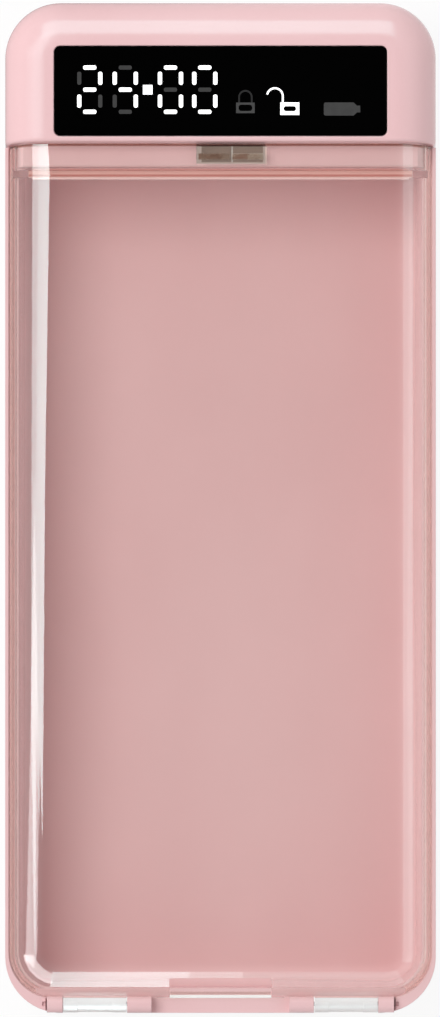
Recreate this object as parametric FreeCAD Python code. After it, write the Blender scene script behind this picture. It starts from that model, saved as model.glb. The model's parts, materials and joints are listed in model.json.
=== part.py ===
import FreeCAD, Part
import math
import os

# Timed lock container for a phone, in millimetres.
# It lies on its back: X is across it, +Y runs from the hinged foot to the head with the display,
# and +Z leaves the front face. The origin is the middle of the flat back face.

# ---- overall body ----
body_length = 224.0
body_width = 95.5
body_depth = 34.0
plan_corner_radius = 12.4
front_edge_radius = 9.0
back_edge_radius = 5.0
parting_height = 15.5          # plane where the head cover meets the base
tray_height = 24.5             # top of the walls round the phone, where the lid rests
parting_gap = 0.2

# ---- base shell ----
floor_thickness = 2.4
side_wall = 2.8
foot_wall = 5.5
head_wall = 2.4
bay_corner_radius = 8.0
bay_head_corner_radius = 3.0
works_bay_corner_radius = 1.0
tray_rim_rise = 1.5            # of the outer rim beside the lid
tray_rim_gap = 0.15
tray_rim_to_hinge = 0.3

# ---- head ----
head_length = 30.8             # from the head end to the seam with the lid
seam_gap = 0.45
seam_lean = 6.0                # degrees from upright, its foot nearer the hinge
seam_edge_radius = 0.8
head_foot_wall = 2.0
partition_offset = 5.7         # from the seam to the phone bay
partition_wall = 2.0
ledge_drop = 4.3               # from the front face down to the ledge
ledge_thickness = 2.0
ledge_edge_radius = 0.7
ledge_side_gap = 0.35          # between the ledge and the inside of the lid
cheek_wall = 2.0
cover_seat_gap = 0.2

# ---- lid ----
lid_wall = 1.4
lid_side_inset = 0.9
lid_corner_radius = 10.2       # of its foot corners
lid_over_knuckle = 0.6         # how far the lid's foot face covers its knuckles
lid_rib_thickness = 1.6
lid_rib_height = 5.5
lid_rib_gap = 0.7              # between the rib and the partition
cable_notch_width = 22.6
cable_notch_reach = 4.5        # from the lid's foot face towards the head
cable_notch_sill = 0.8         # above the lid's rim

# ---- lid hinge ----
knuckle_radius = 1.9
knuckle_end_inset = 0.1        # from the foot end to the knuckles
hinge_axis_up = 1.5            # above the tray's walls
hinge_clearance = 0.3
hinge_inner_x = 15.3           # inner end of each hinge
inner_lug_width = 5.4
lid_knuckle_width = 14.0
outer_lug_width = 3.5
knuckle_side_gap = 0.15
lid_relief_inner_gap = 1.2     # of the lid's cut-outs, past the hinges' inner ends
knuckle_collar_width = 3.2
knuckle_waist_radius = 1.8
pin_radius = 0.5
pin_running_gap = 0.06
pin_end_inset = 0.3

# ---- catch on the lid and the bolt that holds it ----
catch_x = 2.3                  # middle of the two hooks, a little right of the centre line
hook_width = 6.95
hook_gap = 0.5
hook_stem_thickness = 1.4
hook_toe_reach = 1.4
hook_toe_height = 1.8
hook_toe_gap = 0.4             # below the bolt
pocket_wall = 0.9              # partition left in front of the hooks
pocket_front_gap = 0.8
pocket_back_gap = 0.4
pocket_side_gap = 0.4
pocket_depth_gap = 0.8
bolt_drop = 1.3                # below the ledge
bolt_thickness = 3.0
bolt_nose_length = 4.7
bolt_nose_inset = 0.3          # each side, within the two hooks
bolt_retracted_gap = 1.3       # between the toes and the bolt at rest
bolt_guide_gap = 0.3
bolt_glide_gap = 0.1
bolt_bar_length = 15.2
bolt_bar_width = 8.2
rack_offset = 3.8              # of the rack and pinion from the middle of the hooks
bar_offset = 0.4               # of the bar's middle to the left of the rack's
bolt_gearbox_gap = 0.4         # from the nose to the gearbox
rib_over_bolt_gap = 0.2
bolt_rib_width = 1.5
bolt_rib_spread = 5.44         # of each rib from the middle of the hooks
bolt_tip_radius = 0.6
bolt_guide_end = 1.0           # from the guide's end to the bolt's

# ---- rack and pinion ----
tooth_module = 0.6
pinion_teeth = 12
pressure_angle = 25.0
tooth_addendum = 0.5
tooth_dedendum = 0.75
tooth_backlash = 0.12
pinion_width = 3.0
pinion_head_gap = 0.4          # from the pinion to the gearbox screws' heads
rack_width = 3.4
rack_teeth = 7

# ---- gearmotor ----
gearbox_length = 9.0
gearbox_width = 12.0
gearbox_height = 10.0
motor_length = 15.0
motor_boss_radius = 2.0
motor_boss_length = 0.8
shaft_radius = 1.5
shaft_running_gap = 0.06
shaft_depth = 3.0              # of the output shaft in the gearbox
gearbox_screw_spacing = 9.0
gearbox_screw_radius = 0.8
gearbox_screw_head_radius = 1.4
gearbox_screw_head_height = 1.1
gearbox_screw_depth = 2.2
gearbox_slot_depth = 0.5
gearbox_slot_half_width = 0.2
terminal_width = 1.6
terminal_thickness = 0.4
terminal_length = 2.4
terminal_offset = 3.2          # of each tab from the motor's axis
lead_radius = 0.35
lead_spread = 0.75             # of each of a pair of leads from their middle
lead_turn = 5.0                # from the tabs to the leads' upright run
wire_bend_share = 0.45         # of the shorter run that a bend takes up

# ---- latch frame ----
frame_thickness = 2.0
frame_pad_height = 2.05
mount_wall = 1.8
mount_wall_gap = 0.1
mount_wall_margin = 0.3        # beyond the gearbox
motor_pad_half_width = 4.0
motor_pad_inset = 1.0          # from the motor's back
guide_shelf_width = 2.1
guide_wall = 1.9
guide_wall_over_bolt = 0.5
cradle_wall = 1.0
cradle_gap = 0.2
cradle_height = 6.0
cradle_start = 3.0             # from the motor's back
cradle_length = 8.0
frame_side_margin = 8.0        # beyond the bolt's guide
frame_foot_margin = 2.0        # beyond the gearbox, towards the foot
frame_head_margin = 4.0
frame_screw_inset = 4.0
frame_screw_to_battery = 1.6
frame_screw_radius = 0.8
frame_screw_head_radius = 1.8
frame_screw_head_height = 1.2
frame_boss_radius = 2.4

# ---- battery ----
battery_length = 38.0
battery_width = 18.0
battery_pad_thickness = 0.2
battery_fillet = 1.5
battery_rib = 1.2
battery_rib_height = 3.0
battery_rib_gap = 0.2
battery_rib_inset = 8.0        # from the cell's ends
battery_pad_inset = 3.0
battery_lead_spread = 1.2
connector_depth = 3.0
connector_width = 6.0
connector_height = 2.4
connector_from_battery = 11.0  # along X from the cell's end to the connector's middle
battery_frame_gap = 1.0        # left under the latch frame

# ---- screws that hold the head cover ----
cover_screw_radius = 1.1
cover_screw_head_radius = 2.1
cover_screw_head_height = 1.8
cover_screw_sink = 3.2
cover_screw_bite = 8.5
cover_boss_radius = 3.6
cover_post_radius = 2.6
cover_boss_in_wall = 0.4       # how far the foot-side bosses run into the side walls
cover_boss_from_seam = 5.3
corner_boss_from_side = 7.35   # of the head-side bosses, from the inside of the walls
corner_boss_from_end = 5.6
cover_post_sink = 1.5          # how deep the posts run into the cover's front wall
screw_clearance = 0.2
screw_tip_gap = 0.5            # left beyond a screw's tip
drive_recess_radius = 0.9
drive_recess_depth = 0.8
drive_recess_half_width = 0.25

# ---- display ----
window_width = 73.6
window_height = 19.8
window_thickness = 1.3
window_corner_radius = 1.3
window_gap = 0.15
window_from_seam = 1.3
tape_thickness = 0.2
tape_inset = 0.2
window_seat_width = 1.5
segment_depth = 0.5
segment_thickness = 0.92
segment_corner_radius = 0.4
digit_half_width = 2.33
digit_half_height = 4.9
bar_length_across = 2.92
bar_length_up = 2.88
bar_rise = 0.08                # of the upright bars past the middle of their half
digit_centres = (-28.96, -21.1, -11.08, -3.48)
digit_texts = ("2", "4", "0", "0")
display_row_offset = 0.27      # of the digits above the window's middle
icon_drop = 2.83               # from the digits' middle to the tops of the symbols
lock_icon_drop = 2.85
lock_icon_x = 5.52
lock_icon_width = 4.12
lock_icon_height = 2.35
lock_bow_radius = 1.4
lock_bow_thickness = 0.38
lock_bow_rise = 1.2            # of the bow's centre above its body
lock_bow_sweep = 180.0
lock_slot = (3.05, 1.4)
unlock_icon_x = 15.35
unlock_icon_width = 4.2
unlock_icon_height = 2.76
unlock_bow_radius = 1.74
unlock_bow_thickness = 0.4
unlock_bow_inset = 0.55        # of the bow's leg from the body's left side
unlock_bow_rise = 1.42
unlock_bow_sweep = 168.0
unlock_slot = (2.75, 1.14)
icon_slot_round = 0.45         # of the slot's height, rounded at its corners
battery_icon_x = 29.5          # of the right end of its cell
battery_icon_length = 6.6
battery_icon_height = 2.9
battery_nub_length = 1.45
battery_nub_step = 0.7
colon_x = -16.13
colon_size = 2.1
module_margin = 0.6
module_gap = 0.4               # under the window
board_drop = 5.3               # from the front face to the top of the control board
board_thickness = 1.4
board_edge_inset = 3.8         # of the control board, within the window's width
board_wing_width = 8.0
board_wing_y = 4.0             # of the wings' middle from the window's middle
board_post_from_window = 1.6   # from the window's edge to a post's axis
board_post_radius = 2.2
board_screw_radius = 0.8
board_screw_head_radius = 1.6
board_screw_head_height = 1.2
board_edge_gap = 0.8
board_wing_margin = 0.3        # beyond the posts
board_over_button_board = 1.6

# ---- buttons and charging socket on the head end ----
button_positions = (-8.0, 8.0, 24.0)
button_names = ("hour", "minute", "lock")
button_width = 9.0
button_height = 3.8
button_gap = 0.2
button_sink = 0.2              # of the caps' faces, below the end wall
button_edge_radius = 0.48
button_travel = 0.5
button_flange = 1.0
button_flange_thickness = 0.9
button_flange_gap = 0.3
plunger_radius = 1.1
plunger_gap = 0.15
plunger_reach = 0.5            # into the switch at rest
switch_size = 4.6
switch_height = 1.8
socket_x = -26.0
socket_width = 9.0
socket_height = 3.2
socket_shell = 0.3
socket_gap = 0.2
socket_recess = 0.6
tongue_width = 6.6
tongue_thickness = 0.7
tongue_setback = 0.5           # from the shell's mouth to the tongue's tip
socket_depth = 5.0
button_board_thickness = 1.2
button_board_half_width = 33.4
button_board_inset = 4.6       # from the inside of the end wall
button_board_lift = 2.0        # above the floor
button_board_top_gap = 1.8     # below the control board
board_slot_gap = 0.1
slot_post_size = 3.6
slot_post_height = 12.0
limit_switch_width = 6.5
limit_switch_height = 5.0
limit_switch_gap = 0.3
header_width = 20.0
header_x = -12.0
header_depth = 2.4
buzzer_radius = 4.5
buzzer_height = 4.3
buzzer_vent_radius = 0.8
buzzer_x = 24.0
chip_size = 7.0
chip_height = 1.0
chip_x = -22.0
driver_chip_size = 4.0
driver_chip_x = -12.0

# ---- how solids are joined and cut ----
bite = 0.5                     # how far a joined piece runs into its neighbour
past = 1.0                     # how far a cut runs past the face that it opens
hair = 1e-6                    # within which two places count as the same
seam_hair = 1e-4               # within which a place counts as on the leaning seam

# ---- places worked out from the sizes above ----
half_length = body_length / 2
half_width = body_width / 2
seam_y = half_length - head_length
bay_head_y = seam_y - partition_offset
bay_foot_y = -half_length + foot_wall
bay_half_width = half_width - side_wall
head_bay_y = bay_head_y + partition_wall
head_inner_y = half_length - head_wall
head_inner_half_width = half_width - head_wall
ledge_top = body_depth - ledge_drop
ledge_bottom = ledge_top - ledge_thickness
cover_foot_inner_y = seam_y + head_foot_wall
hinge_y = -half_length + knuckle_end_inset + knuckle_radius
hinge_z = tray_height + hinge_axis_up
lid_foot_y = hinge_y + knuckle_radius - lid_over_knuckle
lid_half_width = half_width - lid_side_inset
lid_inner_half_width = lid_half_width - lid_wall
lid_plate_bottom = body_depth - lid_wall
lid_rim_z = tray_height + parting_gap
ledge_half_width = lid_inner_half_width - ledge_side_gap
lid_knuckle_x = hinge_inner_x + inner_lug_width + knuckle_side_gap
outer_lug_x = lid_knuckle_x + lid_knuckle_width + knuckle_side_gap
hinge_outer_x = outer_lug_x + outer_lug_width

bolt_top = ledge_bottom - bolt_drop
bolt_bottom = bolt_top - bolt_thickness
hook_front_y = bay_head_y + pocket_wall + pocket_front_gap
hook_back_y = hook_front_y + hook_stem_thickness
toe_back_y = hook_back_y + hook_toe_reach
toe_top = bolt_bottom - hook_toe_gap
toe_bottom = toe_top - hook_toe_height
catch_half_width = hook_width + hook_gap / 2
bolt_tip_y = toe_back_y + bolt_retracted_gap
bolt_bar_y = bolt_tip_y + bolt_nose_length
bolt_end_y = bolt_bar_y + bolt_bar_length
pitch_radius = tooth_module * pinion_teeth / 2
pinion_z = bolt_bottom - tooth_dedendum - pitch_radius
pinion_y = bolt_bar_y + bolt_gearbox_gap + gearbox_width / 2
rack_x = catch_x + rack_offset
bar_x0 = rack_x - bolt_bar_width / 2 - bar_offset
bar_x1 = bar_x0 + bolt_bar_width
pinion_x0 = rack_x - pinion_width / 2
mount_wall_x1 = pinion_x0 - gearbox_screw_head_height - pinion_head_gap
mount_wall_x0 = mount_wall_x1 - mount_wall
gearbox_x1 = mount_wall_x0 - mount_wall_gap
gearbox_x0 = gearbox_x1 - gearbox_length
motor_x0 = gearbox_x0 - motor_length
gearbox_bottom = pinion_z - gearbox_height / 2
frame_top = gearbox_bottom - frame_pad_height
frame_bottom = frame_top - frame_thickness
shelf_top = bolt_bottom - bolt_glide_gap
guide_x0 = bar_x1 + bolt_guide_gap - guide_shelf_width
guide_x1 = bar_x1 + bolt_guide_gap + guide_wall
guide_y0 = bolt_bar_y + bolt_guide_gap
guide_y1 = bolt_end_y - bolt_guide_end
frame_y0 = pinion_y - gearbox_width / 2 - frame_foot_margin
frame_y1 = pinion_y + gearbox_width / 2 + frame_head_margin
frame_x1 = guide_x1 + frame_side_margin
frame_screw_x1 = frame_x1 - frame_screw_inset
battery_x1 = frame_screw_x1 - frame_boss_radius - frame_screw_to_battery
battery_x0 = battery_x1 - battery_length
frame_screw_x0 = battery_x0 - frame_boss_radius - frame_screw_to_battery
frame_x0 = frame_screw_x0 - frame_screw_inset
battery_y = (frame_y0 + frame_y1) / 2
battery_z = floor_thickness + battery_pad_thickness
battery_thickness = frame_bottom - battery_frame_gap - battery_z
battery_lead_z = battery_z + battery_thickness / 2
connector_x = battery_x1 + connector_from_battery
frame_screw_places = [
    (x, y)
    for x in (frame_screw_x0, frame_screw_x1)
    for y in (frame_y0 + frame_screw_inset, frame_y1 - frame_screw_inset)
]
cover_screw_places = [
    (side * x, y)
    for side in (-1, 1)
    for x, y in (
        (head_inner_half_width - cover_boss_radius + cover_boss_in_wall, seam_y + cover_boss_from_seam),
        (head_inner_half_width - corner_boss_from_side, head_inner_y - corner_boss_from_end),
    )
]
window_y0 = seam_y + window_from_seam
window_y = window_y0 + window_height / 2
digits_y = window_y + display_row_offset
board_top = body_depth - board_drop
board_bottom = board_top - board_thickness
board_half_width = window_width / 2 - board_edge_inset
board_post_x = window_width / 2 + board_post_from_window
board_wing_middle = window_y + board_wing_y
cover_inner_front = body_depth - head_wall
flat_top = body_depth - front_edge_radius
end_controls_z = (parting_height + flat_top) / 2
button_board_y1 = head_inner_y - button_board_inset
button_board_y0 = button_board_y1 - button_board_thickness
button_board_top = board_bottom - button_board_top_gap
button_board_bottom = floor_thickness + button_board_lift
slot_post_top = floor_thickness + slot_post_height


def vec(x, y, z):
    """A point or direction."""
    return FreeCAD.Vector(x, y, z)


def block(x0, x1, y0, y1, z0, z1):
    """A box between two corners."""
    return Part.makeBox(x1 - x0, y1 - y0, z1 - z0, vec(x0, y0, z0))


def rod(radius, start, end):
    """A cylinder from one point to another."""
    direction = end - start
    return Part.makeCylinder(radius, direction.Length, start, direction)


def joined(shapes):
    """The shapes fused into one, with seams inside flat faces removed."""
    result = shapes[0].multiFuse(shapes[1:]) if len(shapes) > 1 else shapes[0]
    return result.removeSplitter()


def upright_edges(shape):
    """The straight edges that run along Z."""
    return [
        edge
        for edge in shape.Edges
        if edge.BoundBox.XLength < hair and edge.BoundBox.YLength < hair
    ]


def edges_at_height(shape, z):
    """The edges that lie wholly in the plane of height z."""
    return [
        edge
        for edge in shape.Edges
        if abs(edge.BoundBox.ZMin - z) < hair and abs(edge.BoundBox.ZMax - z) < hair
    ]


def rounded_block(x0, x1, y0, y1, z0, z1, foot_radius, head_radius=None):
    """A box with rounded upright corners, which may differ at its two ends."""
    shape = block(x0, x1, y0, y1, z0, z1)
    middle_y = (y0 + y1) / 2
    for radius, at_foot in ((foot_radius, True), (head_radius or foot_radius, False)):
        corners = [e for e in upright_edges(shape) if (e.Vertexes[0].Y < middle_y) == at_foot]
        sharp = [e for e in corners if min(abs(e.Vertexes[0].Y - y0), abs(e.Vertexes[0].Y - y1)) < hair]
        shape = shape.makeFillet(radius, sharp)
    return shape


def pebble(x0, x1, y0, y1, z0, z1, foot_radius, head_radius=None, top=0.0, bottom=0.0):
    """A rounded box whose top or bottom rim is rounded over too."""
    shape = rounded_block(x0, x1, y0, y1, z0, z1, foot_radius, head_radius)
    if top:
        shape = shape.makeFillet(top, edges_at_height(shape, z1))
    if bottom:
        shape = shape.makeFillet(bottom, edges_at_height(shape, z0))
    return shape


def pill(x, z, width, height, y0, y1):
    """A bar with round ends, standing along Y."""
    radius = height / 2
    reach = width / 2 - radius
    middle = block(x - reach, x + reach, y0, y1, z - radius, z + radius)
    ends = [rod(radius, vec(x + side * reach, y0, z), vec(x + side * reach, y1, z)) for side in (-1, 1)]
    return joined([middle] + ends)


def both_sides(make):
    """What make(side) gives for the left, -1, and the right, 1."""
    return [make(side) for side in (-1, 1)]


def side_block(side, x0, x1, y0, y1, z0, z1):
    """A box on the right side, or its mirror image on the left."""
    low, high = sorted((side * x0, side * x1))
    return block(low, high, y0, y1, z0, z1)


def hinge_rod(side, radius, x0, x1):
    """A cylinder on the hinge axis between two distances from the centre line."""
    return rod(radius, vec(side * x0, hinge_y, hinge_z), vec(side * x1, hinge_y, hinge_z))


def seam_at(z):
    """Where the head's leaning foot face lies along Y at a height."""
    return seam_y - (body_depth - z) * math.tan(math.radians(seam_lean))


def head_side(gap=0.0):
    """All space on the head's side of the leaning seam, from a gap before it."""
    space = block(-body_width, body_width, 0, body_length, -body_length, body_length)
    space.rotate(vec(0, 0, 0), vec(1, 0, 0), -seam_lean)
    space.translate(vec(0, seam_y - gap, body_depth))
    return space


def body_outline(z0, z1, **rims):
    """The whole body's rounded outline between two heights."""
    return pebble(
        -half_width, half_width, -half_length, half_length, z0, z1, plan_corner_radius, **rims
    )


# ---- base shell ----


def phone_bay():
    """The hollow in which the phone lies."""
    return pebble(
        -bay_half_width,
        bay_half_width,
        bay_foot_y,
        bay_head_y,
        floor_thickness,
        body_depth,
        bay_corner_radius,
        bay_head_corner_radius,
        bottom=back_edge_radius - floor_thickness,
    )


def head_bay():
    """The hollow in the base's head for the works."""
    return pebble(
        -head_inner_half_width,
        head_inner_half_width,
        head_bay_y,
        head_inner_y,
        floor_thickness,
        body_depth,
        works_bay_corner_radius,
        plan_corner_radius - head_wall,
    )


def ledge_outline(y0, y1, grow=0.0):
    """The space between two places along Y whose sides and top follow the inside of the lid."""
    outline = pebble(
        -ledge_half_width - grow,
        ledge_half_width + grow,
        -half_length,
        body_length,
        0,
        lid_plate_bottom - ledge_side_gap + grow,
        foot_radius=lid_corner_radius - lid_wall,
        top=front_edge_radius - lid_wall - ledge_side_gap + grow,
    )
    return outline.common(block(-half_width, half_width, y0, y1, 0, ledge_top + grow))


def ledge():
    """Partition, ledge and cheeks that stand above the parting plane, with the hooks' pocket."""
    back_y = cover_foot_inner_y
    inner_x = ledge_half_width - cheek_wall
    under = block(-inner_x, inner_x, head_bay_y, back_y + past, 0, ledge_bottom)
    shape = ledge_outline(bay_head_y, back_y).cut(under)
    below = block(-half_width, half_width, bay_head_y - past, back_y + past, 0, floor_thickness)
    shape = shape.cut(below)
    front_edge = [
        edge
        for edge in edges_at_height(shape, ledge_top)
        if abs(edge.BoundBox.YMax - bay_head_y) < hair
    ]
    shape = shape.makeFillet(ledge_edge_radius, front_edge)
    pocket = block(
        catch_x - catch_half_width - pocket_side_gap,
        catch_x + catch_half_width + pocket_side_gap,
        bay_head_y + pocket_wall,
        toe_back_y + pocket_back_gap,
        toe_bottom - pocket_depth_gap,
        body_depth,
    )
    ribs = [
        block(
            x - bolt_rib_width / 2,
            x + bolt_rib_width / 2,
            bolt_tip_y,
            back_y,
            bolt_top + rib_over_bolt_gap,
            ledge_bottom + bite,
        )
        for x in (catch_x - bolt_rib_spread, catch_x + bolt_rib_spread)
    ]
    fillers = []
    for top, end_y in ((parting_height, back_y), (tray_height, seam_at(parting_height) - seam_gap)):
        fillers += both_sides(
            lambda side: side_block(
                side, inner_x, half_width - 2 * bite, bay_head_y, end_y, floor_thickness, top
            )
        )
    return joined([shape.cut(pocket)] + ribs + fillers)


def base_lugs():
    """The fixed knuckles of both hinges and the webs under them."""
    shapes = []
    for side in (-1, 1):
        for x0, x1 in (
            (hinge_inner_x, hinge_inner_x + inner_lug_width),
            (outer_lug_x, hinge_outer_x),
        ):
            shapes.append(hinge_rod(side, knuckle_radius, x0, x1))
            shapes.append(
                side_block(
                    side,
                    x0,
                    x1,
                    hinge_y - knuckle_radius,
                    lid_foot_y - hinge_clearance,
                    tray_height - bite,
                    hinge_z,
                )
            )
    return shapes


def cover_screw_cuts():
    """Shank holes and sunk seats for the head cover's screws."""
    cuts = []
    for x, y in cover_screw_places:
        seat_z = cover_screw_sink + cover_screw_head_height
        start = vec(x, y, -past)
        cuts.append(rod(cover_screw_radius + screw_clearance, start, vec(x, y, body_depth)))
        cuts.append(rod(cover_screw_head_radius + screw_clearance, start, vec(x, y, seat_z)))
    return cuts


def battery_ribs():
    """Low ribs on the floor that keep the battery in place."""
    x0, x1 = battery_x0 - battery_rib_gap, battery_x1 + battery_rib_gap
    y0 = battery_y - battery_width / 2 - battery_rib_gap
    y1 = battery_y + battery_width / 2 + battery_rib_gap
    top = floor_thickness + battery_rib_height
    low = floor_thickness - bite
    return [
        block(x0 + battery_rib_inset, x1 - battery_rib_inset, y0 - battery_rib, y0, low, top),
        block(x0 + battery_rib_inset, x1 - battery_rib_inset, y1, y1 + battery_rib, low, top),
    ]


def slot_posts():
    """Posts with a slot each that hold the upright button board."""
    low = floor_thickness - bite
    middle = (button_board_y0 + button_board_y1) / 2
    posts = both_sides(
        lambda side: side_block(
            side,
            button_board_half_width - slot_post_size / 2,
            button_board_half_width + slot_post_size / 2,
            middle - slot_post_size / 2,
            middle + slot_post_size / 2,
            low,
            slot_post_top,
        )
    )
    slot = block(
        -button_board_half_width - board_slot_gap,
        button_board_half_width + board_slot_gap,
        button_board_y0 - board_slot_gap,
        button_board_y1 + board_slot_gap,
        button_board_bottom,
        slot_post_top + past,
    )
    return [post.cut(slot) for post in posts]


def tray_walls():
    """The body's outline up to the lid's rim, with the low rim that stands beside the lid."""
    walls = body_outline(0, tray_height + tray_rim_rise, bottom=back_edge_radius)
    lid_seat = rounded_block(
        -lid_half_width - tray_rim_gap,
        lid_half_width + tray_rim_gap,
        lid_foot_y - tray_rim_gap,
        body_length,
        tray_height,
        body_depth,
        lid_corner_radius + tray_rim_gap,
    )
    hinge_x = hinge_outer_x + tray_rim_to_hinge
    hinge_row = block(-hinge_x, hinge_x, -body_length, 0, tray_height, body_depth)
    middle = block(
        -bay_half_width, bay_half_width, bay_head_y, body_length, parting_height, body_depth
    )
    for space in (lid_seat, hinge_row, middle, head_side(seam_gap)):
        walls = walls.cut(space)
    return walls


def hinge_slots():
    """The slots for the lid's knuckles, open downwards through the foot wall."""
    return both_sides(
        lambda side: side_block(
            side,
            lid_knuckle_x - knuckle_side_gap,
            lid_knuckle_x + lid_knuckle_width + knuckle_side_gap,
            -body_length,
            hinge_y + knuckle_radius + hinge_clearance,
            -past,
            hinge_z,
        )
    )


def base_shell():
    """The back moulding: phone tray, head tray, ledge, hinge lugs and every boss."""
    outer = body_outline(0, parting_height, bottom=back_edge_radius)
    shell = joined([outer, tray_walls()]).cut(joined([phone_bay(), head_bay()]))
    low = floor_thickness - bite
    bosses = [
        rod(cover_boss_radius, vec(x, y, low), vec(x, y, parting_height))
        for x, y in cover_screw_places
    ]
    bosses += [
        rod(frame_boss_radius, vec(x, y, low), vec(x, y, frame_bottom)) for x, y in frame_screw_places
    ]
    added = [ledge()] + base_lugs() + bosses + battery_ribs() + slot_posts()
    shell = joined([shell] + added)
    cuts = cover_screw_cuts()
    cuts += [
        rod(frame_screw_radius, vec(x, y, floor_thickness), vec(x, y, frame_bottom + past))
        for x, y in frame_screw_places
    ]
    cuts += hinge_slots()
    cuts += both_sides(
        lambda side: hinge_rod(side, pin_radius, hinge_inner_x - past, hinge_outer_x + past)
    )
    return shell.cut(Part.makeCompound(cuts)).removeSplitter()


# ---- lid ----


def lid_skin():
    """The lid's plain clear shell, cut off at the seam."""
    beyond = half_length + lid_wall
    rim = dict(foot_radius=lid_corner_radius, top=front_edge_radius)
    outer = pebble(
        -lid_half_width, lid_half_width, lid_foot_y, beyond, lid_rim_z, body_depth, **rim
    )
    inner = pebble(
        -lid_inner_half_width,
        lid_inner_half_width,
        lid_foot_y + lid_wall,
        beyond + lid_wall,
        lid_rim_z - past,
        lid_plate_bottom,
        foot_radius=lid_corner_radius - lid_wall,
        top=front_edge_radius - lid_wall,
    )
    return outer.cut(inner).cut(head_side(seam_gap))


def lid_hooks():
    """The two hooks that hang from the lid's front plate and drop through the ledge."""
    shapes = []
    for x0 in (catch_x - catch_half_width, catch_x + hook_gap / 2):
        x1 = x0 + hook_width
        stem = block(x0, x1, hook_front_y, hook_back_y, toe_bottom, lid_plate_bottom)
        toe = block(x0, x1, hook_back_y - bite, toe_back_y, toe_bottom, toe_top)
        shapes.append(joined([stem, toe]))
    return shapes


def lid_knuckle(side):
    """One hinge knuckle of the lid, with collars at its ends and an arm to the foot wall."""
    x0, x1 = lid_knuckle_x, lid_knuckle_x + lid_knuckle_width
    pieces = [
        hinge_rod(side, knuckle_waist_radius, x0, x1),
        hinge_rod(side, knuckle_radius, x0, x0 + knuckle_collar_width),
        hinge_rod(side, knuckle_radius, x1 - knuckle_collar_width, x1),
    ]
    top = hinge_z + knuckle_waist_radius
    pieces.append(side_block(side, x0, x1, hinge_y, lid_foot_y + bite, lid_rim_z, top))
    return pieces


def lid():
    """The clear lid: skin, inner rib, hinge knuckles and the notch for a charging cable."""
    rib_y1 = bay_head_y - lid_rib_gap
    rib = block(
        -lid_inner_half_width - bite,
        lid_inner_half_width + bite,
        rib_y1 - lid_rib_thickness,
        rib_y1,
        lid_plate_bottom - lid_rib_height,
        lid_plate_bottom + bite,
    )
    filled = pebble(
        -lid_half_width + bite,
        lid_half_width - bite,
        lid_foot_y + bite,
        half_length,
        lid_rim_z,
        body_depth - bite,
        foot_radius=lid_corner_radius - bite,
        top=front_edge_radius - bite,
    )
    reliefs = []
    for side in (-1, 1):
        for x0, x1 in (
            (hinge_inner_x, hinge_inner_x + inner_lug_width),
            (outer_lug_x, hinge_outer_x),
        ):
            radius = knuckle_radius + hinge_clearance
            inner_gap = lid_relief_inner_gap if x0 == hinge_inner_x else knuckle_side_gap
            reliefs.append(hinge_rod(side, radius, x0 - inner_gap, x1 + knuckle_side_gap))
    skin = lid_skin().cut(Part.makeCompound(reliefs))
    knuckles = lid_knuckle(-1) + lid_knuckle(1)
    shape = joined([skin, rib.common(filled)] + knuckles)
    notch = block(
        -cable_notch_width / 2,
        cable_notch_width / 2,
        -half_length - past,
        lid_foot_y + cable_notch_reach,
        lid_rim_z + cable_notch_sill,
        body_depth + past,
    )
    bores = both_sides(
        lambda side: hinge_rod(
            side,
            pin_radius + pin_running_gap,
            lid_knuckle_x - past,
            lid_knuckle_x + lid_knuckle_width + past,
        )
    )
    return shape.cut(Part.makeCompound([notch] + bores)).removeSplitter()


def hinge_pin(side):
    """A steel pin through one hinge."""
    return hinge_rod(side, pin_radius, hinge_inner_x + pin_end_inset, hinge_outer_x - pin_end_inset)


# ---- head cover ----


def window_plate(grow, z0, z1):
    """A plate of the display window's outline, grown or shrunk by a margin."""
    return rounded_block(
        -window_width / 2 - grow,
        window_width / 2 + grow,
        window_y0 - grow,
        window_y0 + window_height + grow,
        z0,
        z1,
        max(window_corner_radius + grow, window_corner_radius / 2),
    )


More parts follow.
